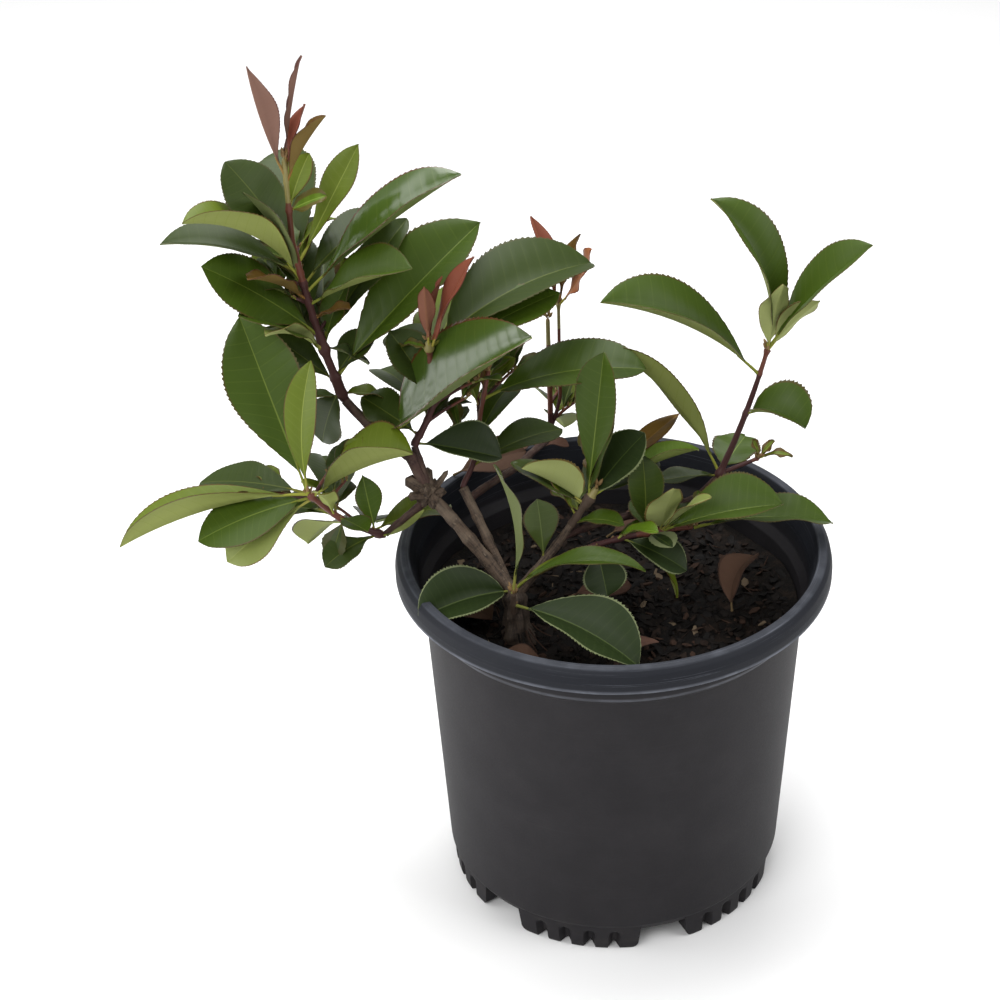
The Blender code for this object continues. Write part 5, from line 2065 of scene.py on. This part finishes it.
@dataclass
class Soil:
    """The bark mix that fills the pot, with loose chips, fibres and fallen leaves on it."""

    pot: Pot
    rings: int = 44
    steps: int = 150
    clearance: float = 0.4
    foot_height: float = 18
    foot_corner: float = 5
    foot_inset: Range = (2.4, 8)
    chips: int = 1500
    fibres: int = 60
    strands: int = 26
    hollow: float = 4
    flat_radius: float = 42
    waves: Triple = (0.090, 0.075, 0.040)
    lump: float = 2.6
    lump_pitch: float = 0.085
    edge_run: float = 6
    chip: Scatter = Scatter(
        (2.5, 9.5), (0.35, 0.75), (0.8, 2.0),
        tuple(i for i, weight in enumerate((24, 26, 14, 5, 1)) for _ in range(weight)),
    )
    fibre: Scatter = Scatter((8, 17), None, None, (2, 3, 3, 4))
    chip_inset: Range = (0.94, 0.99)
    fibre_inset: float = 0.96
    swing: float = 0.1
    dent: float = 0.13
    lean: float = 0.6
    spin: float = 6.3
    stand: float = 0.25
    strand_stand: Range = (5, 8)
    strand_height: Range = (2, 9)
    strand_swing: float = 30
    strand_drop: Range = (-50, -20)
    strand_length: Range = (12, 26)
    strand_arch: float = -50
    strand_girth: Range = (0.4, 0.9)
    strand_tones: tuple[int, ...] = (1, 2, 3, 3)
    litter_stand: float = 1.2
    seed: int = 11

    @property
    def rim(self) -> float:
        """Radius of the soil's top, in millimetres."""
        return self.pot.wall_radius(SOIL_LEVEL) - self.pot.wall - GAP - self.clearance

    def height_at(self, x: float, y: float) -> float:
        """Height of the bark mix at a place.

        Args:
            x: From the pot's axis, in millimetres.
            y: From the pot's axis, in millimetres.

        Returns:
            The height in millimetres.
        """
        away = max(0.0, math.hypot(x - TRUNK_FOOT[0], y - TRUNK_FOOT[1]) - self.flat_radius)
        across, back, skew = self.waves
        ripple = 0.5 + 0.25 * math.sin(x * across + 1) + 0.25 * math.sin(y * back - x * skew)
        drop = self.hollow * ripple * min(1.0, away / self.flat_radius)
        edge = min(1.0, (self.rim - math.hypot(x, y)) / self.edge_run)
        spot = Vector((x * self.lump_pitch, y * self.lump_pitch, 3.7))
        rough = noise.fractal(spot, 1.0, 2.1, 4)
        return SOIL_LEVEL - drop + self.lump * rough * max(0.0, edge)

    def build(self) -> None:
        """The mix and what lies on it."""
        low = self.pot.floor + self.pot.floor_thickness + GAP
        wall, (inset, corner) = self.pot.wall_radius(self.foot_height), self.foot_inset
        rings = [self.rim * (self.rings - i) / self.rings for i in range(self.rings + 1)]
        profile = [(radius, SOIL_LEVEL) for radius in rings]
        profile += [(0, low), (wall - corner, low), (wall - inset, low + self.foot_corner)]
        bm = turned(profile, self.steps)
        for vert in bm.verts:
            if vert.co.z > (SOIL_LEVEL - 0.01) * MM:
                vert.co.z = self.height_at(vert.co.x / MM, vert.co.y / MM) * MM
        bmesh.ops.recalc_face_normals(bm, faces=bm.faces)
        finish_piece("bark_mix", bm, [BarkMix().material()], ["soil"])
        self.build_chips()
        self.build_litter()

    def build_chips(self) -> None:
        """Loose chips and fibres scattered by the turning rule, in five plain colours."""
        draw = random.Random(self.seed)
        bm = mapped_mesh()
        total = self.chips + self.fibres
        for i in range(total):
            radius = self.rim * math.sqrt((i + 0.5) / total) * draw.uniform(*self.chip_inset)
            if i >= self.chips:
                radius = self.rim * math.sqrt(draw.random()) * self.fibre_inset
            self.add_chip(bm, i, radius, self.fibre if i >= self.chips else self.chip, draw)
        for i in range(self.strands):
            self.add_strand(bm, i * FILL_TURN, draw)
        finishes = [chip.value.material() for chip in Chip]
        finish_piece("bark_chips", bm, finishes, ["soil"], 30)

    def add_chip(
        self, bm: Mesh, i: int, radius: float, kind: Scatter, draw: random.Random
    ) -> None:
        """One dented chip or fibre, leaning and half sunk in the mix.

        Args:
            bm: The mesh that it joins.
            i: Its number, which the turning rule reads.
            radius: Its distance from the pot's axis, in millimetres.
            kind: Its sizes and colours.
            draw: The seeded numbers.
        """
        turn = i * math.radians(FILL_TURN) + draw.uniform(-self.swing, self.swing)
        x, y = radius * math.cos(turn), radius * math.sin(turn)
        long, wide, thick = kind.size(draw)
        made = bmesh.ops.create_icosphere(bm, subdivisions=1, radius=0.5)["verts"]
        for vert in made:
            vert.co += Vector([draw.uniform(-self.dent, self.dent) for _ in range(3)])
        lean = Matrix.Rotation(draw.uniform(-self.lean, self.lean), 4, "X")
        lean @= Matrix.Rotation(draw.uniform(-self.lean, self.lean), 4, "Y")
        spin = Matrix.Rotation(draw.uniform(0, self.spin), 4, "Z")
        size = Matrix.Diagonal((long * MM, wide * MM, thick * MM, 1))
        lift = self.height_at(x, y) + thick * self.stand
        place = Matrix.Translation(Vector((x, y, lift)) * MM)
        bmesh.ops.transform(bm, matrix=place @ spin @ lean @ size, verts=made)
        colour_made(made, draw.choice(kind.tones))

    def add_strand(self, bm: Mesh, turn: float, draw: random.Random) -> None:
        """One root fibre that hangs from the trunk's foot to the mix.

        Args:
            bm: The mesh that it joins.
            turn: Its heading from the trunk, in degrees.
            draw: The seeded numbers.
        """
        foot = Vector(TRUNK_FOOT) + direction(turn, 0) * draw.uniform(*self.strand_stand)
        foot.z += draw.uniform(*self.strand_height)
        heading = turn + draw.uniform(-self.strand_swing, self.strand_swing)
        drop, length = draw.uniform(*self.strand_drop), draw.uniform(*self.strand_length)
        arc = Arc(heading, drop, length, self.strand_arch)
        girth = draw.uniform(*self.strand_girth)
        strand = Sweep(limb_path(foot, [arc], 3), [(0, girth), (1, girth * 0.5)], 5, 0.3)
        strand.tones = ((1.0, draw.choice(self.strand_tones)),)
        join_into(bm, strand.build())

    def build_litter(self) -> None:
        """The fallen leaves that lie on the mix, dry and curled."""
        fallen = (
            ((62, -18, 171), Leaf(0, 62, 30, 34, 22, 96, -24, 34, Tint.DRY)),
            ((-24, -2, 169), Leaf(0, 6, 8, 34, 18, 40, 10, 12, Tint.RUST)),
            ((-92, -2, 171), Leaf(0, -44, 4, 40, 18, 40, 14, 16, Tint.DRY)),
            ((-14, -54, 168), Leaf(0, 10, 6, 38, 14, 30, -12, 12, Tint.RUST)),
            ((-34, -66, 169), Leaf(0, 160, 8, 24, 12, 60, 0, 24, Tint.DRY)),
            ((-88, 66, 203), Leaf(0, 12, 14, 42, 22, 40, 24, 20, Tint.DRY)),
            ((-60, 88, 203), Leaf(0, 12, 12, 22, 9, 40, 0, 24, Tint.DRY)),
            ((-44, 96, 203), Leaf(0, -14, 10, 20, 9, 40, 0, 24, Tint.RUST)),
            ((-4, 56, 169), Leaf(0, 24, 8, 36, 18, 50, 8, 16, Tint.DRY)),
        )
        columns = (-1, -0.93, -0.5, -0.07, 0.07, 0.5, 0.93, 1)
        blade = Blade(6, columns, tooth=0.04, bulge=0.011)
        bm = mapped_mesh()
        tints = [Tint.DRY, Tint.RUST]
        for i, (place, leaf) in enumerate(fallen):
            foot = Vector(place) + Vector((0, 0, self.litter_stand))
            first = tints.index(leaf.tint) * len(Part)
            join_into(bm, blade.grow(foot, leaf, first, f"litter{i}"))
        finishes = [tint.finish(part).material() for tint in tints for part in Part]
        finish_piece("fallen_leaves", bm, finishes, ["soil"], 75)


# ---- studio


@dataclass(frozen=True)
class Softbox:
    """A square soft light: where it stands and its side in metres, and its power in watts."""

    name: str
    place: Triple
    size: float
    power: float


@dataclass
class Studio:
    """A pale floor, soft lights and the camera at the photograph's angle."""

    floor_colour: Colour = (0.86, 0.86, 0.86)
    floor_half: float = 4.0
    lights: tuple[Softbox, ...] = (
        Softbox("light_front", (-0.8, -1.5, 1.4), 1.2, 22),
        Softbox("light_side", (1.4, -0.5, 1.3), 1.0, 16),
        Softbox("light_top", (-0.1, 0.5, 1.7), 1.3, 32),
        Softbox("light_left", (-1.50, -0.25, 0.48), 1.1, 13),
        Softbox("light_left_high", (-1.15, 0.05, 1.55), 0.7, 5),
    )
    aim: Triple = (0, 0, 0.25)
    surround: float = 0.34
    camera_pitch: float = 32.45
    lens: float = 86.4
    sensor: float = 36.0
    shift: float = -0.1138

    def build(self) -> None:
        """Make the floor, the lights, the surroundings and the camera."""
        self.build_floor()
        for light in self.lights:
            self.add_light(light)
        world = bpy.data.worlds.new("studio")
        world.use_nodes = True
        background = world.node_tree.nodes["Background"]
        background.inputs["Color"].default_value = (1, 1, 1, 1)
        background.inputs["Strength"].default_value = self.surround
        bpy.context.scene.world = world
        bpy.context.scene.view_settings.view_transform = "Standard"
        self.build_camera()

    def build_floor(self) -> None:
        """The floor under the pot."""
        bm = bmesh.new()
        bmesh.ops.create_grid(bm, x_segments=1, y_segments=1, size=self.floor_half)
        mesh = bpy.data.meshes.new("floor")
        bm.to_mesh(mesh)
        bm.free()
        mesh.materials.append(PlainFinish("floor_pale", self.floor_colour, 0.9).material())
        floor = bpy.data.objects.new("floor", mesh)
        bpy.context.scene.collection.objects.link(floor)

    def add_light(self, softbox: Softbox) -> None:
        """Put up a light that faces the crown.

        Args:
            softbox: The light.
        """
        light = bpy.data.lights.new(softbox.name, "AREA")
        light.size = softbox.size
        light.energy = softbox.power
        item = bpy.data.objects.new(softbox.name, light)
        item.location = softbox.place
        ahead = Vector(self.aim) - Vector(softbox.place)
        item.rotation_euler = ahead.to_track_quat("-Z", "Y").to_euler()
        bpy.context.scene.collection.objects.link(item)

    def build_camera(self) -> None:
        """The camera, level across and pitched down at the pot."""
        data = bpy.data.cameras.new("photo_camera")
        data.lens = self.lens
        data.sensor_width = self.sensor
        data.shift_x = self.shift
        camera = bpy.data.objects.new("photo_camera", data)
        camera.location = POT_AXIS + Vector(EYE) * MM
        camera.rotation_euler = (math.radians(90 - self.camera_pitch), 0, 0)
        bpy.context.scene.collection.objects.link(camera)
        bpy.context.scene.camera = camera


def main() -> None:
    """Build the potted shrub and its studio."""
    logging.basicConfig(level=logging.INFO, format="%(message)s")
    Studio().build()
    pot = Pot()
    pot.build()
    Soil(pot).build()
    paths = Wood().build()
    Shoots(paths).build(FOLIAGE)


if __name__ == "__main__":
    main()
